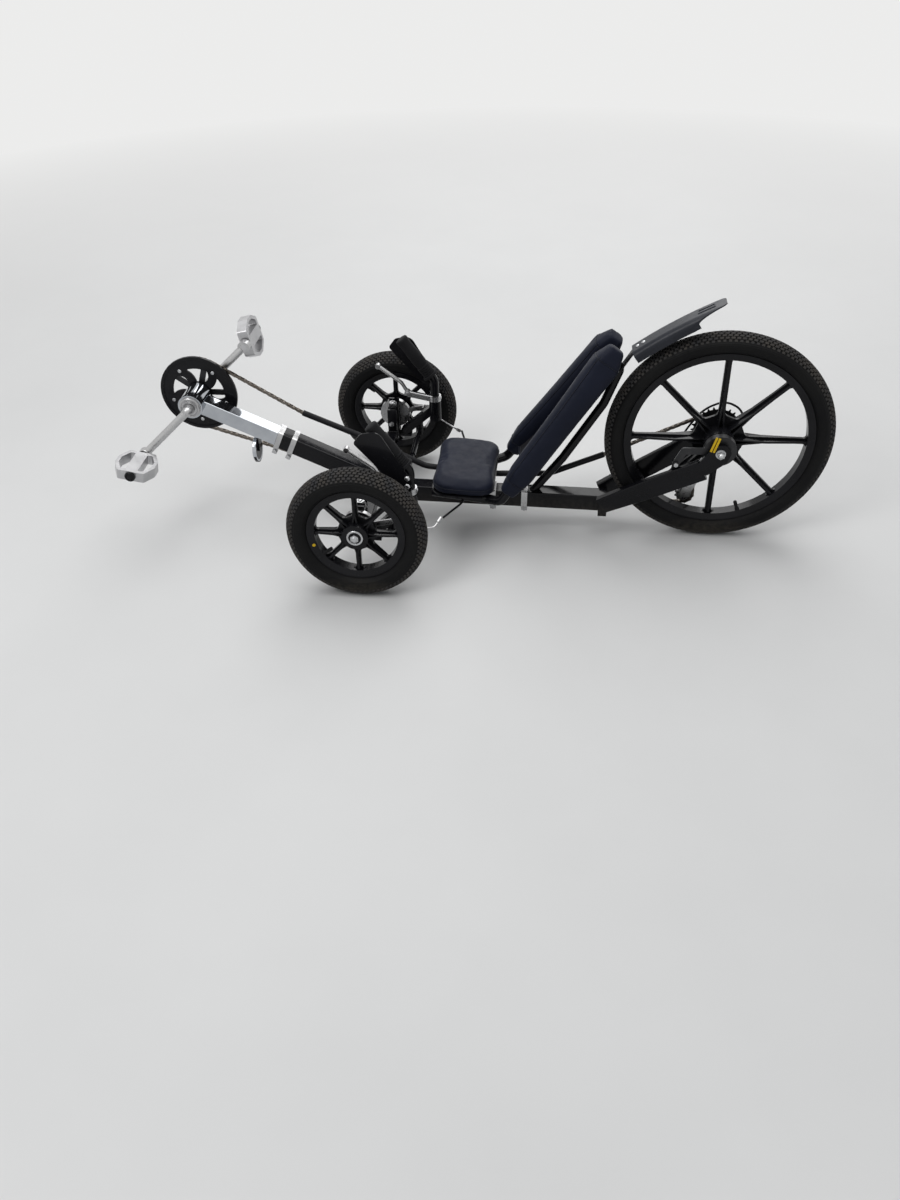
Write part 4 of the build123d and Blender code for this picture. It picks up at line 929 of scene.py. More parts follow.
@dataclass(frozen=True)
class Studio:
    """Camera, floor and lights.

    Attributes:
        eye: Camera place in millimetres from the front axle.
        yaw: Camera heading in radians.
        pitch: Camera tilt below the horizon.
        roll: Camera roll.
        focal: Focal length in pixels of a frame 1200 high.
        frame_height: Height of that frame.
        sensor: Height of the camera's sensor in millimetres.
        sky_colour: Colour of the light that the surroundings give.
        sky_power: Strength of that light.
        lamps: Name, place, side and power of each lamp.
    """

    eye: tuple[float, float, float] = (445.0, -2161.0, 1433.0)
    yaw: float = -0.131
    pitch: float = 0.656
    roll: float = -0.032
    focal: float = 1060.0
    frame_height: float = 1200.0
    sensor: float = 24.0
    sky_colour: Colour = (0.93, 0.96, 1.0)
    sky_power: float = 0.26
    lamps: tuple[tuple[str, tuple[float, float, float], float, float], ...] = (
        ("overhead", (0.1, 0.3, 4.5), 5.0, 145.0),
        ("key", (-1.9, -2.2, 3.2), 1.6, 40.0),
        ("back", (0.2, 3.2, 2.9), 2.6, 50.0),
    )

    def camera(self, layout: Layout) -> None:
        """Put the camera where the photograph was taken.

        Args:
            layout: Places on the trike.
        """
        ahead = Vector((math.sin(self.yaw) * math.cos(self.pitch), math.cos(self.yaw) * math.cos(self.pitch),
                        -math.sin(self.pitch)))
        level = Vector((math.cos(self.yaw), -math.sin(self.yaw), 0.0))
        above = level.cross(ahead)
        right = level * math.cos(self.roll) + above * math.sin(self.roll)
        up = above * math.cos(self.roll) - level * math.sin(self.roll)
        data = bpy.data.cameras.new("camera")
        data.sensor_fit = "VERTICAL"
        data.sensor_height = self.sensor
        data.lens = self.sensor * self.focal / self.frame_height
        data.clip_end = 200.0
        camera = bpy.data.objects.new("camera", data)
        bpy.context.scene.collection.objects.link(camera)
        turn = Matrix((right, up, -ahead)).transposed().to_4x4()
        camera.matrix_world = Matrix.Translation(layout.at(*self.eye)) @ turn
        bpy.context.scene.camera = camera

    def floor(self, paint: Paintbox) -> None:
        """Lay the pale floor.

        Args:
            paint: The Paintbox.
        """
        bm = bmesh.new()
        bmesh.ops.create_grid(bm, x_segments=1, y_segments=1, size=60.0)
        mesh = bpy.data.meshes.new("floor")
        bm.to_mesh(mesh)
        bm.free()
        floor = bpy.data.objects.new("floor", mesh)
        bpy.context.scene.collection.objects.link(floor)
        mesh.materials.append(paint.material(FLOOR))

    def world(self) -> None:
        """Pale surroundings, dimmer in the light that they give than where they are seen."""
        world = bpy.data.worlds.new("studio")
        world.use_nodes = True
        board = Board(world.node_tree)
        board.tree.nodes.clear()
        seen = board.add("ShaderNodeBackground", {"Color": SURROUNDINGS, "Strength": 1.0})
        lit = board.add("ShaderNodeBackground", {"Color": self.sky_colour, "Strength": self.sky_power})
        rays = board.add("ShaderNodeLightPath")
        direct = board.sum("MAXIMUM", rays.outputs["Is Camera Ray"], rays.outputs["Is Glossy Ray"])
        direct = board.sum("MAXIMUM", direct, rays.outputs["Is Transmission Ray"])
        mix = board.add("ShaderNodeMixShader", {0: direct, 1: lit.outputs[0], 2: seen.outputs[0]})
        board.add("ShaderNodeOutputWorld", {"Surface": mix.outputs[0]})
        bpy.context.scene.world = world

    def lamp(self, name: str, place: Sequence[float], side: float, power: float) -> None:
        """Hang one soft area lamp that points at the trike.

        Args:
            name: Name of the lamp.
            place: Where it hangs.
            side: Side of its square.
            power: Power in watts.
        """
        data = bpy.data.lights.new(name, "AREA")
        data.shape = "SQUARE"
        data.size = side
        data.energy = power
        lamp = bpy.data.objects.new(name, data)
        bpy.context.scene.collection.objects.link(lamp)
        lamp.matrix_world = facing(place, Vector(place) - Vector((0.0, 0.0, 0.2)))

    def build(self, layout: Layout, paint: Paintbox) -> None:
        """Set the whole stage.

        Args:
            layout: Places on the trike.
            paint: The Paintbox.
        """
        self.camera(layout)
        self.floor(paint)
        self.world()
        for row in self.lamps:
            self.lamp(*row)
        bpy.context.scene.view_settings.view_transform = "Standard"


@dataclass(frozen=True)
class Row:
    """One ring of tread blocks.

    Attributes:
        middle: Its place across the tread, 0 in the middle and 1 at the shoulder.
        width: Width of a block on the same scale.
        share: Length of a block as a share of the pitch.
        skew: How far the inner end of a block leads, as a share of the pitch.
        phase: Shift along the tread, as a share of the pitch.
    """

    middle: float
    width: float
    share: float
    skew: float
    phase: float


@dataclass(frozen=True)
class Tyre:
    """A balloon tyre with moulded tread.

    Attributes:
        radius: Radius over the tread.
        bead: Radius of the bead seat.
        width: Full width.
        rows: Rings of blocks, mirrored where they are off the middle.
        pitch: Length of one tread pitch.
        flange: Height of the rim flange.
        lip: Half width inside the rim flange.
        tread: Height of the tread blocks.
        shoulder: Depth of the shoulder below the crown, also its inset from the belly.
    """

    radius: float
    bead: float
    width: float
    rows: tuple[Row, ...]
    pitch: float
    flange: float = 0.0065
    lip: float = 0.014
    tread: float = 0.003
    shoulder: float = 0.009

    def half_profile(self) -> list[tuple[float, float]]:
        """Outer half of the carcass, from the bead to the middle of the crown.

        Returns:
            Radius and height of each point.
        """
        half = self.width / 2
        belly = (self.radius + self.bead) / 2 + 0.003
        edge = self.radius - self.tread - self.shoulder + 0.001
        inset = half - self.shoulder + 0.001
        wall = arc_points((self.bead + self.flange, self.lip), (belly, half), (edge, inset), 22)
        crown = arc_points((edge, inset), (self.radius - self.tread, 0.0), (edge, -inset), 20)[1:11]
        raised = [(r, h + (0.0006 if i in (3, 5, 7, 15, 17) else 0.0)) for i, (r, h) in enumerate(wall)]
        return [(self.bead, self.lip - 0.001)] + raised + crown

    def crown_point(self, across: float, lift: float) -> tuple[float, float]:
        """Point above the crown.

        Args:
            across: Place across the tread, 0 in the middle and 1 at the shoulder.
            lift: Height above the crown.

        Returns:
            Radius and height along the axle.
        """
        inset = self.width / 2 - self.shoulder + 0.001
        drop = self.shoulder - 0.001
        curve = (inset * inset + drop * drop) / (2 * drop)
        reach = math.asin(inset / curve) * across
        centre = self.radius - self.tread - curve
        return (centre + (curve + lift) * math.cos(reach), (curve + lift) * math.sin(reach))

    def block_ring(self, row: Row, side: float, count: int) -> bmesh.types.BMesh:
        """One ring of blocks round Z.

        Args:
            row: The ring's sizes.
            side: -1 or 1, the half of the tread.
            count: Number of blocks.

        Returns:
            The bmesh.
        """
        step = FULL_TURN / count
        bm = bmesh.new()
        bmesh.ops.create_cube(bm, size=1.0)
        across = [e for e in bm.edges if abs(e.verts[0].co.y - e.verts[1].co.y) > 0.5]
        bmesh.ops.subdivide_edges(bm, edges=across, cuts=1, use_grid_fill=True)
        phase = (row.phase + (0.5 if side < 0 else 0.0)) * step
        for vert in bm.verts:
            top = vert.co.z > 0
            taper = 0.86 if top else 1.0
            place = side * (row.middle + vert.co.y * row.width * taper)
            raised = self.tread * (0.75 if row.middle > 1.0 else 1.0)
            radius, height = self.crown_point(place, raised if top else -0.0006)
            turn = phase + vert.co.x * row.share * step * taper + vert.co.y * row.skew * step
            vert.co = (radius * math.cos(turn), radius * math.sin(turn), height)
        bmesh.ops.spin(bm, geom=bm.verts[:] + bm.edges[:] + bm.faces[:], cent=(0.0, 0.0, 0.0),
                       axis=(0.0, 0.0, 1.0), angle=FULL_TURN * (count - 1) / count, steps=count - 1,
                       use_duplicate=True)
        return bm

    def build(self, place: Matrix) -> Shape:
        """Build carcass and tread.

        Args:
            place: Wheel placement.

        Returns:
            The Shape, with wall rubber as material 0 and tread as 1.
        """
        shape = Shape()
        half = self.half_profile()
        profile = half + [(r, -h) for r, h in reversed(half[:-1])]
        shape.stamp(turned(profile, 144, closed=True), place)
        count = int(round(FULL_TURN * self.radius / self.pitch))
        for row in self.rows:
            for side in (1.0,) if row.middle == 0 else (1.0, -1.0):
                shape.stamp(self.block_ring(row, side, count), place, 1)
        return shape


REAR_ROWS = (
    Row(0.0, 0.235, 0.78, 0.10, 0.0),
    Row(0.28, 0.24, 0.80, 0.14, 0.5),
    Row(0.56, 0.24, 0.80, 0.12, 0.0),
    Row(0.84, 0.24, 0.76, 0.06, 0.5),
    Row(1.12, 0.26, 0.62, 0.0, 0.0),
)
FRONT_ROWS = (
    Row(0.0, 0.225, 0.76, 0.12, 0.0),
    Row(0.27, 0.23, 0.80, 0.16, 0.5),
    Row(0.54, 0.23, 0.80, 0.14, 0.0),
    Row(0.81, 0.23, 0.78, 0.10, 0.5),
    Row(1.08, 0.23, 0.72, 0.05, 0.0),
    Row(1.32, 0.20, 0.56, 0.0, 0.5),
)


@dataclass(frozen=True)
class Wheels:
    """Dressing of the three wheels and their hubs.

    Attributes:
        rear: Rear tyre.
        front: Front tyre.
        rim_depth: Depth of the rim below the bead.
        stub_radius: Radius of a front axle.
        rear_valve_turn: Place of the rear valve round its wheel, in degrees.
        front_valve_turn: Place of a front valve round its wheel, in degrees.
        dot: Place of the yellow balance dot on the left front rim, as turn in degrees and radius.
    """

    rear: Tyre = Tyre(0.253, 0.203, 0.050, REAR_ROWS, 0.0122)
    front: Tyre = Tyre(0.155, 0.1015, 0.056, FRONT_ROWS, 0.0118)
    rim_depth: float = 0.010
    stub_radius: float = 0.008
    rear_valve_turn: float = -70.0
    front_valve_turn: float = 215.0
    dot: tuple[float, float] = (197.0, 0.0985)

    def valve(self, place: Matrix, bead: float, turn: float) -> Shape:
        """Valve stem with its cap, pointing at the hub.

        Args:
            place: Wheel placement.
            bead: Radius of the bead seat.
            turn: Angle round the wheel in degrees.

        Returns:
            The Shape.
        """
        angle = math.radians(turn)
        inward = Vector((-math.cos(angle), -math.sin(angle), 0.0))
        foot = inward * -(bead - self.rim_depth + 0.001) + Vector((0.0, 0.0, 0.008))
        stem = facing(place @ foot, place.to_3x3() @ inward)
        shape = Shape()
        profile = ((0.0, 0.0), (0.0052, 0.0), (0.0048, 0.004), (0.0036, 0.010), (0.0036, 0.013),
                   (0.0042, 0.013), (0.0042, 0.0225), (0.0034, 0.0240), (0.0, 0.0240))
        shape.stamp(turned(profile, 16), stem)
        return shape

    def front_axle(self, place: Matrix) -> Shape:
        """Front axle with its washer, hexagon nut and domed end.

        Args:
            place: Wheel placement.

        Returns:
            The Shape, with black in the washer's groove as material 1.
        """
        shape = Shape()
        shaft = drum(self.stub_radius, self.stub_radius, 0.062, 32)
        shape.stamp(shaft, place @ Matrix.Translation((0, 0, -0.037)))
        washer = ((0.0135, 0.0243), (0.0180, 0.0243), (0.0180, 0.0262), (0.0175, 0.0267), (0.0142, 0.0267),
                  (0.0135, 0.0260))
        shape.stamp(turned(washer, 48, closed=True), place)
        dish = ((0.0, 0.0245), (0.0136, 0.0245), (0.0134, 0.0252), (0.0, 0.0252))
        shape.stamp(turned(dish, 40), place, 1)
        nut = drum(0.0098, 0.0098, 0.0062, 6)
        round_edges(nut, 0.0007)
        shape.stamp(nut, place @ Matrix.Translation((0, 0, 0.0250)))
        end = ((0.0, 0.0300), (0.0066, 0.0300), (0.0066, 0.0330), (0.0056, 0.0338), (0.0020, 0.0340),
               (0.0018, 0.0332), (0.0, 0.0332))
        shape.stamp(turned(end, 28), place)
        return shape

    def dot_piece(self, place: Matrix, rim: bpy.types.Object) -> Shape:
        """Small painted disc on the rim.

        Args:
            place: Wheel placement.
            rim: The CAD node of the rim.

        Returns:
            The Shape.
        """
        turn, radius = self.dot
        angle = math.radians(turn)
        above = place @ Vector((radius * math.cos(angle), radius * math.sin(angle), 0.08))
        inward = place.to_3x3() @ Vector((0.0, 0.0, -1.0))
        spot, normal = rim.ray_cast(above, inward)[1:3]
        shape = Shape()
        shape.stamp(turned(((0.0, -0.0010), (0.0036, -0.0010), (0.0036, 0.0003), (0.0, 0.0007)), 20),
                    facing(spot, normal))
        return shape

    def build(self, frame: dict[str, Any], layout: Layout, shop: Workshop) -> None:
        """Add tyres, valves, front axles and the dot on the rim.

        Args:
            frame: What the frame loader gave.
            layout: Places on the trike.
            shop: The Workshop.
        """
        rear = layout.hub("rear_wheel_spin")
        shop.piece(self.rear.build(rear), "tyre_rear", "rear_wheel", (TYRE_WALL, TYRE_TREAD), "tyre_rubber",
                   ("rear_tyre",))
        shop.piece(self.valve(rear, self.rear.bead, self.rear_valve_turn), "valve_rear", "rear_wheel",
                   (GRIP_RUBBER,), "grip_rubber")
        for name, _ in SIDES:
            place = layout.hub(f"front_wheel_{name}_spin")
            body = f"front_wheel_{name}"
            shop.piece(self.front.build(place), f"tyre_front_{name}", body, (TYRE_WALL, TYRE_TREAD),
                       "tyre_rubber", (f"front_tyre_{name}",))
            shop.piece(self.valve(place, self.front.bead, self.front_valve_turn), f"valve_front_{name}", body,
                       (GRIP_RUBBER,), "grip_rubber")
            shop.piece(self.front_axle(place), f"axle_{name}", f"steering_{name}", (ZINC, GUARD_BLACK),
                       "silver_metal", (f"stub_axle_{name}",))
        dot = self.dot_piece(layout.hub("front_wheel_left_spin"), frame["nodes"]["front_rim_left"])
        shop.piece(dot, "balance_dot", "front_wheel_left", (YELLOW,), "yellow_plastic")


@dataclass(frozen=True)
class Bolt:
    """One fastener head.

    Attributes:
        body: Body that it rides on.
        place: Centre of its foot in millimetres from the front axle.
        axis: Direction that it faces.
        head: Kind of head.
        radius: Radius of the head in millimetres.
        height: Height of the head in millimetres.
    """

    body: str
    place: tuple[float, float, float]
    axis: tuple[float, float, float]
    head: Head = Head.DOME
    radius: float = 5.0
    height: float = 3.0

    def part(self) -> bmesh.types.BMesh:
        """Model the head about its own foot.

        Returns:
            The bmesh, with local Z along the bolt.
        """
        r, h = self.radius / 1000.0, self.height / 1000.0
        if self.head is Head.HEX:
            bm = drum(r, r, h, 6)
            round_edges(bm, r * 0.08)
            return bm
        if self.head is Head.SOCKET:
            return turned(((0.0, -0.0006), (r, -0.0006), (r, h * 0.8), (r * 0.88, h), (r * 0.5, h),
                           (r * 0.5, h * 0.4), (0.0, h * 0.4)), 24)
        dome = [(r * math.cos(a), h * math.sin(a)) for a in (0.0, 0.4, 0.8, 1.15, 1.4)]
        return turned(((0.0, -0.0006), (r, -0.0006), *dome, (0.0, h)), 24)


@dataclass(frozen=True)
class Fasteners:
    """Bolts, nuts and caps all over the trike.

    Attributes:
        boom_angle: Slope of the boom in degrees.
        clamp_stations: X and Z of the boom clamps on the main tube's centre line.
        strap_stations: X and Z of the seat straps there.
        guard_middle: X, Y and Z of the guard disc's near face.
    """

    boom_angle: float = 24.6
    clamp_stations: tuple[tuple[float, float], ...] = ((-232.0, 219.2), (-201.0, 205.0))
    strap_stations: tuple[tuple[float, float], ...] = ((273.0, 83.0), (348.0, 81.9))
    guard_middle: tuple[float, float, float] = (-426.0, 37.5, 308.0)

    def table(self) -> list[Bolt]:
        """List every fastener.

        Returns:
            The fasteners of all bodies.
        """
        rows: list[Bolt] = []
        pitch = math.radians(self.boom_angle)
        for stations, slope, drop in ((self.clamp_stations, pitch, 39.8), (self.strap_stations, 0.017, 31.8)):
            for x, z in stations:
                foot = (x - math.sin(slope) * drop, z - math.cos(slope) * drop)
                rows.append(Bolt("frame", (foot[0], -5.0, foot[1]), (0, -1, 0), Head.HEX, 5.6, 4.5))
                rows.append(Bolt("frame", (foot[0], 5.0, foot[1]), (0, 1, 0), Head.HEX, 5.6, 4.5))
        x, y, z = self.guard_middle
        for i in range(5):
            turn = math.radians(i * 72.0 + 20.0)
            spot = (x + 67.0 * math.cos(turn), y, z - 67.0 * math.sin(turn))
            rows.append(Bolt("crankset", spot, (0, -1, 0), Head.SOCKET, 4.2, 2.4))
        for name, side in SIDES:
            body = f"steering_{name}"
            for height in (244.0, 263.0):
                rows.append(Bolt(body, (108.0, side * 241.0, height), (0, side, 0), Head.DOME, 6.2, 3.6))
            rows.append(Bolt(body, (44.0, side * 212.0, 241.0), (0, side, 0), Head.DOME, 5.0, 2.4))
            rows.append(Bolt(body, (44.0, side * 198.0, 241.0), (0, -side, 0), Head.HEX, 5.0, 3.4))
            rows.append(Bolt(body, (123.5, side * 218.0, 222.0), (1, 0, 0), Head.SOCKET, 3.4, 3.0))
            rows.append(Bolt("frame", (0.0, side * 201.0, 154.0), (0, -side, 0), Head.HEX, 6.6, 5.0))
            rows.append(Bolt("frame", (0.0, side * 232.0, 198.2), (0, 0, 1), Head.DOME, 5.6, 3.2))
        rows.append(Bolt("frame", (779.0, -84.0, 253.0), (0, -1, 0), Head.DOME, 6.6, 5.4))
        rows.append(Bolt("frame", (779.0, 84.0, 253.0), (0, 1, 0), Head.DOME, 6.6, 5.4))
        rows.append(Bolt("frame", (686.0, -67.0, 219.0), (0, -1, 0), Head.HEX, 5.4, 3.6))
        rows.append(Bolt("frame", (787.0, 83.5, 223.0), (0, 1, 0), Head.SOCKET, 7.2, 2.6))
        rows.append(Bolt("frame", (764.0, 85.5, 174.0), (0, 1, 0), Head.SOCKET, 7.0, 2.6))
        rows.append(Bolt("frame", (724.0, 54.0, 76.0), (0, 1, 0), Head.SOCKET, 4.0, 1.6))
        for along in (13.0, 28.0):
            rows.append(Bolt("frame", (572.0 + along * 0.80, 0.0, 461.0 + along * 0.60), (-0.60, 0, 0.80),
                             Head.DOME, 5.0, 2.2))
        return rows

    def build(self, layout: Layout, shop: Workshop) -> None:
        """Add the fasteners, one piece for each body.

        Args:
            layout: Places on the trike.
            shop: The Workshop.
        """
        shapes: dict[str, Shape] = {}
        for bolt in self.table():
            shape = shapes.setdefault(bolt.body, Shape())
            shape.stamp(bolt.part(), facing(layout.at(*bolt.place), bolt.axis))
        for body, shape in shapes.items():
            shop.piece(shape, f"bolts_{body}", body, (ZINC,), "zinc_bolt")


@dataclass(frozen=True)
class Drive:
    """Roller chain, bearing rings, jockey teeth and pedal caps.

    Sizes are millimetres, as in the part's source.

    Attributes:
        pitch: Chain pitch.
        chain_y: Place of the chain across the trike.
        ring: X, Z and teeth of the chainring.
        cog: X, Z and teeth of the driven cog.
        jockeys: X and Z of the upper and lower jockey wheel.
        jockey_radius: Pitch radius of a jockey wheel.
        upper: X and Z of each bend of the upper guide tube.
        lower: X and Z of each bend of the lower guide tube.
    """

    pitch: float = 12.7
    chain_y: float = 46.0
    ring: tuple[float, float, int] = (-426.0, 308.0, 42)
    cog: tuple[float, float, int] = (779.0, 253.0, 21)
    jockeys: tuple[tuple[float, float], ...] = ((764.0, 172.0), (724.0, 76.0))
    jockey_radius: float = 22.0
    upper: tuple[tuple[float, float], ...] = (
        (-183, 260), (-18, 190), (105, 127), (262, 112), (403, 118), (530, 175))
    lower: tuple[tuple[float, float], ...] = ((-200, 146), (-20, 84), (130, 60), (560, 47))

    def _radius(self, teeth: int) -> float:
        """Pitch radius of a sprocket in millimetres."""
        return self.pitch / 2 / math.sin(math.pi / teeth)

    @staticmethod
    def _tangent(first: Sequence[float], first_radius: float, second: Sequence[float], second_radius: float,
                 first_turn: int, second_turn: int) -> tuple[tuple[float, float], tuple[float, float]]:
        """Points where the chain leaves one wheel and meets the next.

        Args:
            first: Centre of the first wheel.
            first_radius: Its radius.
            second: Centre of the second wheel.
            second_radius: Its radius.
            first_turn: +1 or -1, the side of the first wheel.
            second_turn: +1 or -1, the side of the second wheel.

        Returns:
            The two points.
        """
        dx, dz = second[0] - first[0], second[1] - first[1]
        offset = first_turn * first_radius - second_turn * second_radius
        angle = math.atan2(dz, dx) + math.acos(offset / math.hypot(dx, dz))
        nx, nz = math.cos(angle), math.sin(angle)
        return ((first[0] + first_turn * first_radius * nx, first[1] + first_turn * first_radius * nz),
                (second[0] + second_turn * second_radius * nx, second[1] + second_turn * second_radius * nz))

    @staticmethod
    def _round(centre: Sequence[float], start: Sequence[float], end: Sequence[float],
               clockwise: bool) -> list[tuple[float, float]]:
        """Points round a wheel from one point to another.

        Args:
            centre: Centre of the wheel.
            start: First point.
            end: Last point.
            clockwise: Whether the angle falls along the way.

        Returns:
            The points.
        """
        radius = math.hypot(start[0] - centre[0], start[1] - centre[1])
        low = math.atan2(start[1] - centre[1], start[0] - centre[0])
        high = math.atan2(end[1] - centre[1], end[0] - centre[0])
        span = -((low - high) % FULL_TURN) if clockwise else (high - low) % FULL_TURN
        count = max(4, int(abs(span) / 0.05))
        return [(centre[0] + radius * math.cos(low + span * i / count),
                 centre[1] + radius * math.sin(low + span * i / count)) for i in range(count + 1)]

    def chain_line(self) -> tuple[list[tuple[float, float]], list[tuple[int, int]]]:
        """Whole chain line as a closed loop.

        Returns:
            X and Z of its points, and the index ranges of the stretches inside guide tubes.
        """
        ring, cog = self.ring[:2], self.cog[:2]
        ring_radius, cog_radius = self._radius(self.ring[2]), self._radius(self.cog[2])
        high, low = self.jockeys
        ring_top, _ = self._tangent(ring, ring_radius, self.upper[0], 0.001, 1, 1)
        _, cog_top = self._tangent(self.upper[-1], 0.001, cog, cog_radius, 1, 1)
        cog_low, jockey_in = self._tangent(cog, cog_radius, high, self.jockey_radius, 1, -1)
        jockey_out, low_in = self._tangent(high, self.jockey_radius, low, self.jockey_radius, -1, 1)
        low_out, _ = self._tangent(low, self.jockey_radius, self.lower[-1], 0.001, 1, 1)
        _, ring_low = self._tangent(self.lower[0], 0.001, ring, ring_radius, 1, 1)
        line: list[tuple[float, float]] = []
        hidden: list[tuple[int, int]] = []
        hidden.append((len(line), len(line) + len(self.upper) - 1))
        line += [tuple(map(float, point)) for point in self.upper]
        line += self._round(cog, cog_top, cog_low, True)
        line += self._round(high, jockey_in, jockey_out, False)
        line += self._round(low, low_in, low_out, True)
        hidden.append((len(line), len(line) + len(self.lower) - 1))
        line += [tuple(map(float, point)) for point in reversed(self.lower)]
        line += self._round(ring, ring_low, ring_top, True)
        return line, hidden

    def pins(self) -> list[tuple[float, float, bool]]:
        """Space the pins evenly along the chain line.

        Returns:
            X and Z of each pin, and whether a guide tube hides it.
        """
        line, hidden = self.chain_line()
        runs = list(zip(line, line[1:] + line[:1]))
        lengths = [math.hypot(b[0] - a[0], b[1] - a[1]) for a, b in runs]
        total = sum(lengths)
        count = 2 * int(round(total / self.pitch / 2))
        step = total / count
        places, index, before = [], 0, 0.0
        for i in range(count):
            target = i * step
            while before + lengths[index] < target:
                before += lengths[index]
                index += 1
            (ax, az), (bx, bz) = runs[index]
            share = (target - before) / lengths[index]
            inside = any(low <= index < high for low, high in hidden)
            places.append((ax + (bx - ax) * share, az + (bz - az) * share, inside))
        return places

    def _side_plate(self, thickness: float, low: float) -> bmesh.types.BMesh:
        """Waisted side plate from one pin at the origin to the next along X, in metres.

        Args:
            thickness: Thickness of the plate.
            low: Height of its lower face.

        Returns:
            The bmesh.
        """
        length, end, waist = self.pitch / 1000.0, 0.0041, 0.0030
        outline = [(end * math.cos(a), end * math.sin(a)) for a in (2.2, 2.75, 3.14, 3.53, 4.08)]
        outline += [(length / 2, -waist)]
        outline += [(length + end * math.cos(a), end * math.sin(a)) for a in (-0.94, -0.39, 0.0, 0.39, 0.94)]
        outline += [(length / 2, waist)]
        bm = plate(outline, thickness)
        bmesh.ops.translate(bm, vec=(0.0, 0.0, low), verts=bm.verts)
        return bm

    def chain(self, layout: Layout) -> Shape:
        """Every link that shows.

        Args:
            layout: Places on the trike.

        Returns:
            The Shape.
        """
        pins = self.pins()
        outer, inner, every = [], [], []
        for i, (x, z, inside) in enumerate(pins):
            ahead = pins[(i + 1) % len(pins)]
            if inside and ahead[2] and pins[i - 1][2]:
                continue
            here, there = layout.at(x, self.chain_y, z), layout.at(ahead[0], self.chain_y, ahead[1])
            place = facing(here, (0.0, -1.0, 0.0), there - here)
            every.append(place)
            (outer if i % 2 else inner).append(place)
        shape = Shape()
        for places, inset in ((outer, 0.0033), (inner, 0.0022)):
            for side in (-1.0, 1.0):
                low = side * inset - 0.0005
                shape.stamp(self._side_plate(0.0010, low), places)
        pin = drum(0.0018, 0.0018, 0.0080, 8)
        shape.stamp(pin, [place @ Matrix.Translation((0, 0, -0.0040)) for place in every])
        roller = drum(0.0036, 0.0036, 0.0034, 10)
        shape.stamp(roller, [place @ Matrix.Translation((0, 0, -0.0017)) for place in every])
        LOG.info("chain of %d links, %d of them in sight", len(pins), len(every))
        return shape

    def jockey_teeth(self, layout: Layout) -> Shape:
        """Toothed rims of both jockey wheels.

        Args:
            layout: Places on the trike.

        Returns:
            The Shape.
        """
        shape = Shape()
        count = 11
        outline = []
        for i in range(count):
            for share, radius in ((-0.32, 0.0176), (-0.10, 0.0208), (0.10, 0.0208), (0.32, 0.0176)):
                turn = FULL_TURN * (i + share) / count
                outline.append((radius * math.cos(turn), radius * math.sin(turn)))
        for x, z in self.jockeys:
            centre = facing(layout.at(x, self.chain_y + 1.1, z), (0.0, -1.0, 0.0))
            shape.stamp(plate(outline, 0.0022), centre)
            boss = ((0.0, 0.0), (0.0075, 0.0), (0.0075, 0.0052), (0.0060, 0.0060), (0.0, 0.0060))
            shape.stamp(turned(boss, 24), centre)
        return shape

    def bearing_rings(self, layout: Layout) -> Shape:
        """Stepped rings outside both bearing cups.

        Args:
            layout: Places on the trike.

        Returns:
            The Shape.
        """
        shape = Shape()
        profile = ((0.0120, 0.0), (0.0235, 0.0), (0.0235, 0.0008), (0.0225, 0.0016), (0.0200, 0.0016),
                   (0.0195, 0.0006), (0.0180, 0.0006), (0.0175, 0.0024), (0.0140, 0.0026), (0.0120, 0.0020))
        for side in (-1.0, 1.0):
            centre = facing(layout.at(self.ring[0], side * 37.0, self.ring[1]), (0.0, side, 0.0))
            shape.stamp(turned(profile, 56, closed=True), centre)
        return shape

    def pedal_caps(self, layout: Layout, name: str, side: float) -> Shape:
        """Black bearing rings at the ends of a pedal's barrel.

        Args:
            layout: Places on the trike.
            name: left or right.
            side: -1 or 1.

        Returns:
            The Shape.
        """
        centre = Vector(layout.joints[f"pedal_{name}_spin"]["pos_m"])
        shape = Shape()
        profile = ((0.0078, 0.0), (0.0116, 0.0), (0.0120, 0.0012), (0.0120, 0.0052), (0.0108, 0.0064),
                   (0.0078, 0.0064))
        for reach, way in ((0.0432, 1.0), (-0.0432, -1.0)):
            foot = centre + Vector((0.0, side * (reach - way * 0.0002), 0.0))
            shape.stamp(turned(profile, 32, closed=True), facing(foot, (0.0, side * way, 0.0)))
        cap = ((0.0, 0.0), (0.0079, 0.0), (0.0079, 0.0050), (0.0060, 0.0062), (0.0, 0.0066))
        shape.stamp(turned(cap, 28), facing(centre + Vector((0.0, side * 0.043, 0.0)), (0.0, side, 0.0)))
        return shape

    def build(self, layout: Layout, shop: Workshop) -> None:
        """Add the chain and the small turned parts of the drive.

        Args:
            layout: Places on the trike.
            shop: The Workshop.
        """
        shop.piece(self.chain(layout), "chain_links", "frame", (CHAIN_STEEL,), "chain_steel", ("chain",))
        shop.piece(self.jockey_teeth(layout), "jockey_teeth", "frame", (TUBE_BLACK,), "black_plastic")
        shop.piece(self.bearing_rings(layout), "bearing_rings", "frame", (SILVER,), "silver_metal")
        for name, side in SIDES:
            shop.piece(self.pedal_caps(layout, name, side), f"pedal_caps_{name}", f"pedal_{name}",
                       (GUARD_BLACK,), "black_plastic")


@dataclass(frozen=True)
class Stuffing:
    """How a padded piece is blown up.

    Attributes:
        shrink: How far the hull is drawn in first.
        voxel: Size of the remeshing grid.
        pressure: Air pressure inside.
        limit: How far a point may move.
        fill: How tight the piece is, 0 to 1; not used.
    """

    shrink: float
    voxel: float
    pressure: float
    limit: float
    fill: float


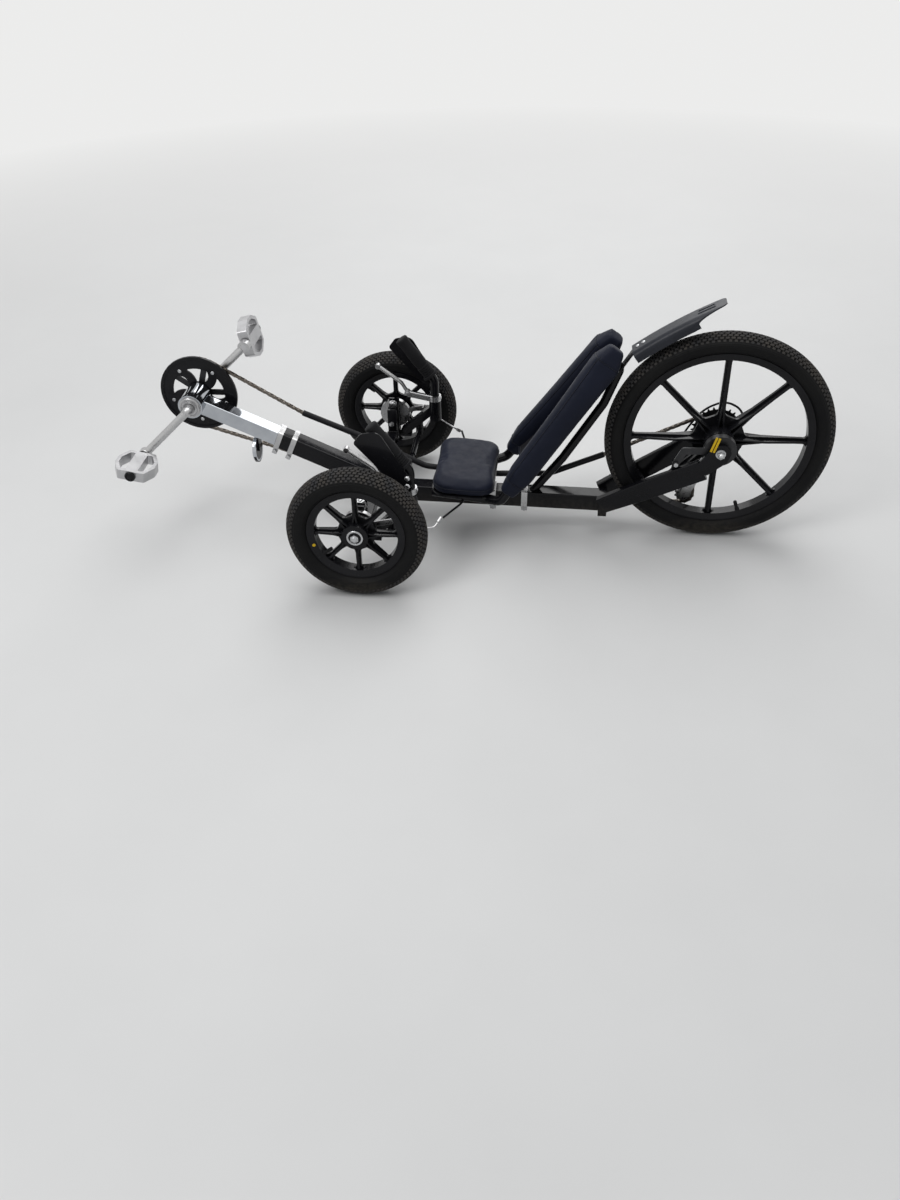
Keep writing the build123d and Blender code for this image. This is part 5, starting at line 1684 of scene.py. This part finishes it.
@dataclass(frozen=True)
class Seat:
    """Pad, two wings and the sling between them.

    Sizes in tables are millimetres, as in the part's source.

    Attributes:
        pad_top: X and Z of the middle of the pad's top.
        pad_tilt: Tilt of the pad in degrees.
        pad_thickness: Thickness of the pad.
        wing_bottom: Foot of the right wing's middle line.
        wing_top: Top of the right wing's middle line.
        wing_sections: Share of its length, depth and width at each section.
        sling: Share of the wing's length and bow backwards at each section of the sling.
        pad_stuffing: How the pad is blown up.
        wing_stuffing: How a wing is blown up.
        seam_radius: Radius of the piping.
        pad_seam_drop: How far the pad's seam lies below its top.
        wing_ring_shares: Share of a wing's length at each cross seam.
        pad_groove: Depth of the groove along the pad's seam.
        wing_groove: Depth of the grooves along a wing's seams.
        groove_reach: Half width of a groove.
        cloth_quality: Steps for each frame of the simulation.
        cloth_mass: Mass of a cloth point in kilograms.
        cloth_stretch: Stiffness against stretching and squeezing.
        cloth_bend: Stiffness against bending.
        last_frame: Frame at which the simulation stops.
    """

    pad_top: tuple[float, float] = (211.0, 173.0)
    pad_tilt: float = 4.0
    pad_thickness: float = 30.0
    wing_bottom: tuple[float, float, float] = (310.0, 100.0, 146.0)
    wing_top: tuple[float, float, float] = (541.0, 34.0, 479.0)
    wing_sections: tuple[tuple[float, float, float], ...] = (
        (0.0, 40, 36), (0.14, 60, 52), (0.55, 58, 54), (0.9, 68, 58), (1.0, 40, 38))
    sling: tuple[tuple[float, float], ...] = ((0.08, 10.0), (0.35, 22.0), (0.7, 16.0), (0.86, 8.0))
    pad_stuffing: Stuffing = Stuffing(0.0010, 0.0050, 4.0, 0.0065, 0.8)
    wing_stuffing: Stuffing = Stuffing(0.0025, 0.0045, 4.0, 0.0055, 0.9)
    seam_radius: float = 0.0011
    pad_seam_drop: float = 0.0135
    wing_ring_shares: tuple[float, ...] = (0.085, 0.905)
    pad_groove: float = 0.0010
    wing_groove: float = 0.0008
    groove_reach: float = 0.0035
    cloth_quality: int = 6
    cloth_mass: float = 0.25
    cloth_stretch: float = 14.0
    cloth_bend: float = 0.6
    last_frame: int = 20

    def hull(self, node: bpy.types.Object, name: str, side: float, stuffing: Stuffing) -> bpy.types.Object:
        """Closed hull of a CAD solid, drawn in and remeshed.

        Args:
            node: The CAD node.
            name: Name of the new object.
            side: -1 or 1 for one half of the node, 0 for all of it.
            stuffing: How it is blown up.

        Returns:
            The object, in the scene.
        """
        bm = bmesh.new()
        bm.from_mesh(node.data)
        bmesh.ops.remove_doubles(bm, verts=bm.verts, dist=1e-5)
        other = [vert for vert in bm.verts if side and vert.co.y * side < 0]
        bmesh.ops.delete(bm, geom=other, context="VERTS")
        bmesh.ops.delete(bm, geom=bm.faces[:], context="FACES_ONLY")
        bmesh.ops.delete(bm, geom=bm.edges[:], context="EDGES_FACES")
        made = bmesh.ops.convex_hull(bm, input=bm.verts[:])
        spare = {item for key in ("geom_interior", "geom_unused") for item in made[key]}
        loose = [item for item in spare if isinstance(item, bmesh.types.BMVert)]
        bmesh.ops.delete(bm, geom=loose, context="VERTS")
        bmesh.ops.recalc_face_normals(bm, faces=bm.faces)
        middle = sum((vert.co for vert in bm.verts), Vector()) / len(bm.verts)
        for vert in bm.verts:
            vert.co += (middle - vert.co).normalized() * 0.0005 - vert.normal * stuffing.shrink
        mesh = bpy.data.meshes.new(name)
        bm.to_mesh(mesh)
        bm.free()
        piece = bpy.data.objects.new(f"{name}_hull", mesh)
        bpy.context.scene.collection.objects.link(piece)
        remesh = piece.modifiers.new("remesh", "REMESH")
        remesh.mode = "VOXEL"
        remesh.voxel_size = stuffing.voxel
        soften = piece.modifiers.new("soften", "SMOOTH")
        soften.factor = 0.5
        soften.iterations = 4
        return self.settled(piece, name)

    def settled(self, piece: bpy.types.Object, name: str) -> bpy.types.Object:
        """Bake an object's modifiers into a new object and remove the old one.

        Args:
            piece: Object with modifiers.
            name: Name of the new object.

        Returns:
            The new object, in the scene.
        """
        depsgraph = bpy.context.evaluated_depsgraph_get()
        mesh = bpy.data.meshes.new_from_object(piece.evaluated_get(depsgraph))
        fresh = bpy.data.objects.new(name, mesh)
        bpy.context.scene.collection.objects.link(fresh)
        bpy.data.objects.remove(piece)
        return fresh

    def blow_up(self, pieces: Sequence[tuple[bpy.types.Object, Stuffing]]) -> list[bpy.types.Mesh]:
        """Swell padded pieces by a short cloth simulation.

        Args:
            pieces: Objects and how each is blown up.

        Returns:
            One subdivided mesh for each.
        """
        rests = []
        for piece, stuffing in pieces:
            rests.append([vert.co.copy() for vert in piece.data.vertices])
            cloth = piece.modifiers.new("cloth", "CLOTH")
            cloth.settings.quality = self.cloth_quality
            cloth.settings.mass = self.cloth_mass
            cloth.settings.tension_stiffness = self.cloth_stretch
            cloth.settings.compression_stiffness = self.cloth_stretch
            cloth.settings.bending_stiffness = self.cloth_bend
            cloth.settings.use_pressure = True
            cloth.settings.uniform_pressure_force = stuffing.pressure
            cloth.settings.effector_weights.gravity = 0.0
            cloth.point_cache.frame_start = 1
            cloth.point_cache.frame_end = self.last_frame
        for frame in range(1, self.last_frame + 1):
            bpy.context.scene.frame_set(frame)
        meshes = []
        for (piece, stuffing), rest in zip(pieces, rests):
            fresh = self.settled(piece, piece.name + "_full")
            for vert, start in zip(fresh.data.vertices, rest):
                move = vert.co - start
                if move.length > stuffing.limit:
                    vert.co = start + move * (stuffing.limit / move.length)
            even = fresh.modifiers.new("even", "SMOOTH")
            even.factor = 0.5
            even.iterations = 2
            finer = fresh.modifiers.new("finer", "SUBSURF")
            finer.levels = 1
            finer.render_levels = 1
            final = self.settled(fresh, "soft")
            meshes.append(final.data)
            bpy.data.objects.remove(final)
        bpy.context.scene.frame_set(1)
        return meshes

    @staticmethod
    def surface(mesh: bpy.types.Mesh) -> BVHTree:
        """Tree of a mesh's faces."""
        return BVHTree.FromPolygons([v.co for v in mesh.vertices], [p.vertices for p in mesh.polygons])

    def ring_seam(self, surface: BVHTree, centre: Vector, axis: Vector, steps: int = 120) -> list[Vector]:
        """Seam all round a piece in one plane.

        Args:
            surface: The piece's surface.
            centre: Point inside the piece, in the seam's plane.
            axis: Normal of that plane.
            steps: Number of points.

        Returns:
            Points on the surface.
        """
        place = facing(centre, axis)
        points = []
        for i in range(steps):
            turn = FULL_TURN * i / steps
            way = place.to_3x3() @ Vector((math.cos(turn), math.sin(turn), 0.0))
            hit = surface.ray_cast(centre + way * 0.4, -way)[0]
            if hit is not None:
                points.append(hit)
        return points

    def wing_line(self, side: float) -> tuple[Vector, Vector, Vector, Vector]:
        """Foot, axis and cross directions of a wing, in millimetres.

        Args:
            side: -1 or 1.

        Returns:
            Foot, axis, direction outboard and direction forward.
        """
        foot = Vector((self.wing_bottom[0], side * self.wing_bottom[1], self.wing_bottom[2]))
        axis = Vector((self.wing_top[0], side * self.wing_top[1], self.wing_top[2])) - foot
        out = Vector((0.0, side, 0.0)) - axis.normalized() * axis.normalized().y * side
        out.normalize()
        ahead = axis.normalized().cross(out) * side
        return foot, axis, out, ahead

    def edge_seam(self, surface: BVHTree, layout: Layout, side: float, outboard: float,
                  forward: float) -> list[Vector]:
        """Seam along one long edge of a wing.

        Args:
            surface: The wing's surface.
            layout: Places on the trike.
            side: -1 or 1.
            outboard: -1 or 1, the edge's side across the wing.
            forward: -1 or 1, the edge's side along the seat.

        Returns:
            Points on the surface.
        """
        foot, axis, out, ahead = self.wing_line(side)
        points = []
        for i in range(61):
            share = 0.07 + 0.85 * i / 60.0
            depth, width = self._section(share)
            spot = foot + axis * share + out * outboard * width * 0.42 + ahead * forward * depth * 0.42
            points.append(surface.find_nearest(layout.at(*spot))[0])
        return points

    def _section(self, share: float) -> tuple[float, float]:
        """Depth and width of a wing, in millimetres.

        Args:
            share: Share of its length.

        Returns:
            The depth and the width.
        """
        for low, high in zip(self.wing_sections, self.wing_sections[1:]):
            if share <= high[0]:
                part = (share - low[0]) / (high[0] - low[0])
                return (low[1] + (high[1] - low[1]) * part, low[2] + (high[2] - low[2]) * part)
        return self.wing_sections[-1][1:]

    def press(self, mesh: bpy.types.Mesh, seams: Sequence[Sequence[Vector]], depth: float,
              reach: float) -> None:
        """Draw the surface in along seams.

        Args:
            mesh: The padded mesh.
            seams: Points of each seam.
            depth: Depth of the groove.
            reach: Half width of the groove.
        """
        points = [point for seam in seams for point in seam]
        tree = KDTree(len(points))
        for i, point in enumerate(points):
            tree.insert(point, i)
        tree.balance()
        normals = [vert.normal.copy() for vert in mesh.vertices]
        for vert, normal in zip(mesh.vertices, normals):
            distance = tree.find(vert.co)[2]
            vert.co -= normal * depth * math.exp(-((distance / reach) ** 2))

    def padded(self, mesh: bpy.types.Mesh, name: str, shop: Workshop, node: str) -> None:
        """Put a padded mesh into the scene.

        Args:
            mesh: The mesh.
            name: Name of the piece.
            shop: The Workshop.
            node: CAD node that it stands for.
        """
        for polygon in mesh.polygons:
            polygon.use_smooth = True
        piece = shop.link(mesh, name, "frame", (VINYL,), "seat_fabric", (node,))

    def sling_sheet(self, layout: Layout, shop: Workshop) -> None:
        """Sheet stretched between the wings, with a hem at its top and foot.

        Args:
            layout: Places on the trike.
            shop: The Workshop.
        """
        foot, axis, _, _ = self.wing_line(1.0)
        flat = Vector((axis.x, 0.0, axis.z)).normalized()
        forward = Vector((-flat.z, 0.0, flat.x))
        low, high = self.sling[0][0], self.sling[-1][0]
        bm = bmesh.new()
        bmesh.ops.create_grid(bm, x_segments=28, y_segments=56, size=1.0)
        for vert in bm.verts:
            share = low + (high - low) * (vert.co.y + 1) / 2
            centre = foot + axis * share
            bow = self._bow(share) * (1.0 - vert.co.x ** 2)
            spot = Vector((centre.x, centre.y * vert.co.x, centre.z)) + forward * (3.0 - bow)
            vert.co = layout.at(*spot)
        area = sum(face.calc_area() for face in bm.faces)
        hems = []
        for end in (low, high):
            centre = foot + axis * end
            line = []
            for i in range(25):
                across = -1 + i / 12.0
                spot = Vector((centre.x, centre.y * across, centre.z))
                line.append(layout.at(*(spot + forward * (3.0 - self._bow(end) * (1.0 - across ** 2)))))
            hems.append(line)
        bmesh.ops.recalc_face_normals(bm, faces=bm.faces)
        mesh = bpy.data.meshes.new("sling_sheet")
        bm.to_mesh(mesh)
        bm.free()
        for polygon in mesh.polygons:
            polygon.use_smooth = True
        sheet = shop.link(mesh, "sling_sheet", "frame", (SLING,), "sling_fabric", ("seat_sling",))
        wall = sheet.modifiers.new("thickness", "SOLIDIFY")
        wall.thickness = 0.0016
        shape = Shape()
        for line in hems:
            shape.stamp(swept(line, 0.0024, 10))
        # The hems take the piping finish, whose lighter navy is a painted highlight on their ridge.
        hem = shop.piece(shape, "sling_hems", "frame", (PIPING_PAINTED_HIGHLIGHT,), "sling_fabric")

    def _bow(self, share: float) -> float:
        """How far the sling bows backwards, in millimetres.

        Args:
            share: Share of the wing's length.

        Returns:
            The depth of the bow.
        """
        for low, high in zip(self.sling, self.sling[1:]):
            if share <= high[0]:
                return low[1] + (high[1] - low[1]) * (share - low[0]) / (high[0] - low[0])
        return self.sling[-1][1]

    def build(self, frame: dict[str, Any], layout: Layout, shop: Workshop) -> None:
        """Add pad, wings, piping and sling.

        Args:
            frame: What the frame loader gave.
            layout: Places on the trike.
            shop: The Workshop.
        """
        nodes = frame["nodes"]
        pad = self.hull(nodes["seat_pad"], "pad", 0.0, self.pad_stuffing)
        wings = [self.hull(nodes["seat_wings"], f"wing_{name}", side, self.wing_stuffing)
                 for name, side in SIDES]
        meshes = self.blow_up([(pad, self.pad_stuffing), *((wing, self.wing_stuffing) for wing in wings)])
        tilt = math.radians(self.pad_tilt)
        up = Vector((math.sin(tilt), 0.0, math.cos(tilt)))
        top = layout.at(self.pad_top[0], 0.0, self.pad_top[1])
        base = top - up * self.pad_thickness / 1000.0
        for vert in meshes[0].vertices:
            below = (vert.co - base).dot(up)
            if below < 0.0004:
                vert.co += up * (0.0004 - below)
        piping = Shape()
        surface = self.surface(meshes[0])
        seam = self.ring_seam(surface, top - up * self.pad_seam_drop, up)
        self.press(meshes[0], [seam], self.pad_groove, self.groove_reach)
        piping.stamp(swept(seam, self.seam_radius, 8, closed=True))
        self.padded(meshes[0], "pad_cushion", shop, "seat_pad")
        for mesh, (name, side) in zip(meshes[1:], SIDES):
            surface = self.surface(mesh)
            foot, axis, _, _ = self.wing_line(side)
            edges = [self.edge_seam(surface, layout, side, across, 1.0) for across in (1.0, -1.0)]
            rings = [self.ring_seam(surface, layout.at(*(foot + axis * share)), axis, 72)
                     for share in self.wing_ring_shares]
            self.press(mesh, edges + rings, self.wing_groove, self.groove_reach)
            for line in edges:
                piping.stamp(swept(line, self.seam_radius, 8))
            for line in rings:
                piping.stamp(swept(line, self.seam_radius * 0.8, 8, closed=True))
            self.padded(mesh, f"wing_cushion_{name}", shop, "seat_wings")
        # The piping's lighter navy is a painted highlight along the seam ridges.
        shop.piece(piping, "seat_piping", "frame", (PIPING_PAINTED_HIGHLIGHT,), "seat_fabric")
        self.sling_sheet(layout, shop)


@dataclass(frozen=True)
class Controls:
    """Rubber grips, the reflector's lens, weld beads and the mudguard's raised slot.

    Attributes:
        bar_top: Top of the right handlebar in millimetres.
        bar_knee: Bend of the right handlebar.
        grip_radius: Radius of a grip.
        grip_length: Length of a grip.
        mudguard: X and Z of three points of the mudguard's crown.
        weld_stations: Y of each weld bead round the cross member.
        member_height: Height of the cross member's middle line.
    """

    bar_top: tuple[float, float, float] = (34.0, 218.0, 373.0)
    bar_knee: tuple[float, float, float] = (110.0, 218.0, 270.0)
    grip_radius: float = 0.0155
    grip_length: float = 0.118
    mudguard: tuple[tuple[float, float], ...] = ((572.0, 461.0), (650.0, 515.0), (757.0, 573.0))
    weld_stations: tuple[float, ...] = (20.6, -20.6, 206.4, -206.4)
    member_height: float = 116.0

    def grip(self, layout: Layout, side: float) -> Shape:
        """Soft grip with rings at its lower end.

        Args:
            layout: Places on the trike.
            side: -1 or 1.

        Returns:
            The Shape.
        """
        top = layout.at(self.bar_top[0], side * self.bar_top[1], self.bar_top[2])
        knee = layout.at(self.bar_knee[0], side * self.bar_knee[1], self.bar_knee[2])
        run = (knee - top).normalized()
        radius, length = self.grip_radius, self.grip_length
        profile = [(0.0, 0.0), (radius * 0.72, 0.0002), (radius * 0.92, 0.0014), (radius, 0.0042)]
        for i in range(1, 20):
            share = i / 20.0
            swell = -0.0007 * math.sin(share * FULL_TURN)
            profile.append((radius + swell, 0.0042 + share * (length - 0.0412)))
        low = length - 0.0345
        for i in range(5):
            start = low + i * 0.0054
            profile += [(radius - 0.0012, start), (radius - 0.0012, start + 0.0016),
                        (radius + 0.0006, start + 0.0024), (radius + 0.0006, start + 0.0046)]
        profile += [(radius, length - 0.0062), (radius + 0.0036, length - 0.0052),
                    (radius + 0.0040, length - 0.0030), (radius + 0.0036, length), (0.0112, length),
                    (0.0112, 0.0045), (0.0, 0.0045)]
        shape = Shape()
        shape.stamp(turned(profile, 48), facing(top - run * 0.004, run))
        return shape

    def lens(self, layout: Layout) -> Shape:
        """Reflector lens, material 0, in a bright rim, material 1.

        Args:
            layout: Places on the trike.

        Returns:
            The Shape.
        """
        centre = facing(layout.at(-294.0, 0.0, 186.3), (-1.0, 0.0, 0.0))
        shape = Shape()
        dome = ((0.0, -0.0005), (0.0262, -0.0005), (0.0262, 0.0012), (0.018, 0.0022), (0.0, 0.0026))
        shape.stamp(turned(dome, 48), centre)
        rim = ((0.0262, -0.0062), (0.0303, -0.0062), (0.0306, -0.0050), (0.0306, 0.0008), (0.0296, 0.0020),
               (0.0262, 0.0014))
        shape.stamp(turned(rim, 56, closed=True), centre, 1)
        return shape

    def beads(self, layout: Layout) -> Shape:
        """Weld beads where the cross member meets the main tube and its end plates.

        Args:
            layout: Places on the trike.

        Returns:
            The Shape.
        """
        shape = Shape()
        half, corner = 12.5, 3.0
        for y in self.weld_stations:
            points = []
            for cx, cz, start in ((1, 1, 0.0), (-1, 1, 90.0), (-1, -1, 180.0), (1, -1, 270.0)):
                for i in range(4):
                    turn = math.radians(start + 30.0 * i)
                    points.append((cx * (half - corner) + corner * math.cos(turn),
                                   cz * (half - corner) + corner * math.sin(turn)))
            line = []
            for (ax, az), (bx, bz) in zip(points, points[1:] + points[:1]):
                steps = max(1, int(math.hypot(bx - ax, bz - az) / 1.3))
                line += [layout.at(ax + (bx - ax) * i / steps, y,
                                   self.member_height + az + (bz - az) * i / steps) for i in range(steps)]
            radii = [0.0017 + 0.00035 * math.sin(i * 2.1) for i in range(len(line))]
            shape.stamp(swept(line, radii, 8, closed=True))
        return shape

    def slot(self, layout: Layout) -> Shape:
        """Raised loop on the mudguard's crown near its tail.

        Args:
            layout: Places on the trike.

        Returns:
            The Shape.
        """
        crown = arc_points(*self.mudguard, 60)
        run = crown[43:54]
        there = [layout.at(x, 6.0, z + 0.2) for x, z in run]
        back = [layout.at(x, -6.0, z + 0.2) for x, z in reversed(run)]
        shape = Shape()
        shape.stamp(swept(there + back, 0.0013, 8, closed=True))
        return shape

    def build(self, layout: Layout, shop: Workshop) -> None:
        """Add the pieces.

        Args:
            layout: Places on the trike.
            shop: The Workshop.
        """
        for name, side in SIDES:
            shop.piece(self.grip(layout, side), f"grip_sleeve_{name}", f"steering_{name}", (GRIP_RUBBER,),
                       "grip_rubber", (f"grip_{name}",))
        shop.piece(self.lens(layout), "reflector_lens", "frame", (LENS, CHROME), "reflector")
        shop.piece(self.beads(layout), "weld_beads", "frame", (GLOSS_BLACK,), "black_frame", (), 180.0)
        shop.piece(self.slot(layout), "mudguard_slot", "frame", (FENDER_BLACK,), "black_plastic")


def dress_nodes(frame: dict[str, Any], paint: Paintbox) -> None:
    """Give every node that stays in sight its finish.

    Args:
        frame: What the frame loader gave.
        paint: The Paintbox.
    """
    for finish, names in NODE_FINISHES.items():
        for name in names:
            for slot in frame["nodes"][name].material_slots:
                slot.material = paint.material(finish)


def main() -> None:
    """Build the scene."""
    logging.basicConfig(level=logging.INFO, format="%(name)s: %(message)s")
    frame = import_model()
    layout = Layout.read(frame)
    paint = Paintbox()
    shop = Workshop(paint)
    Studio().build(layout, paint)
    dress_nodes(frame, paint)
    Wheels().build(frame, layout, shop)
    Drive().build(layout, shop)
    Seat().build(frame, layout, shop)
    Controls().build(layout, shop)
    Fasteners().build(layout, shop)


if __name__ == "__main__":
    main()
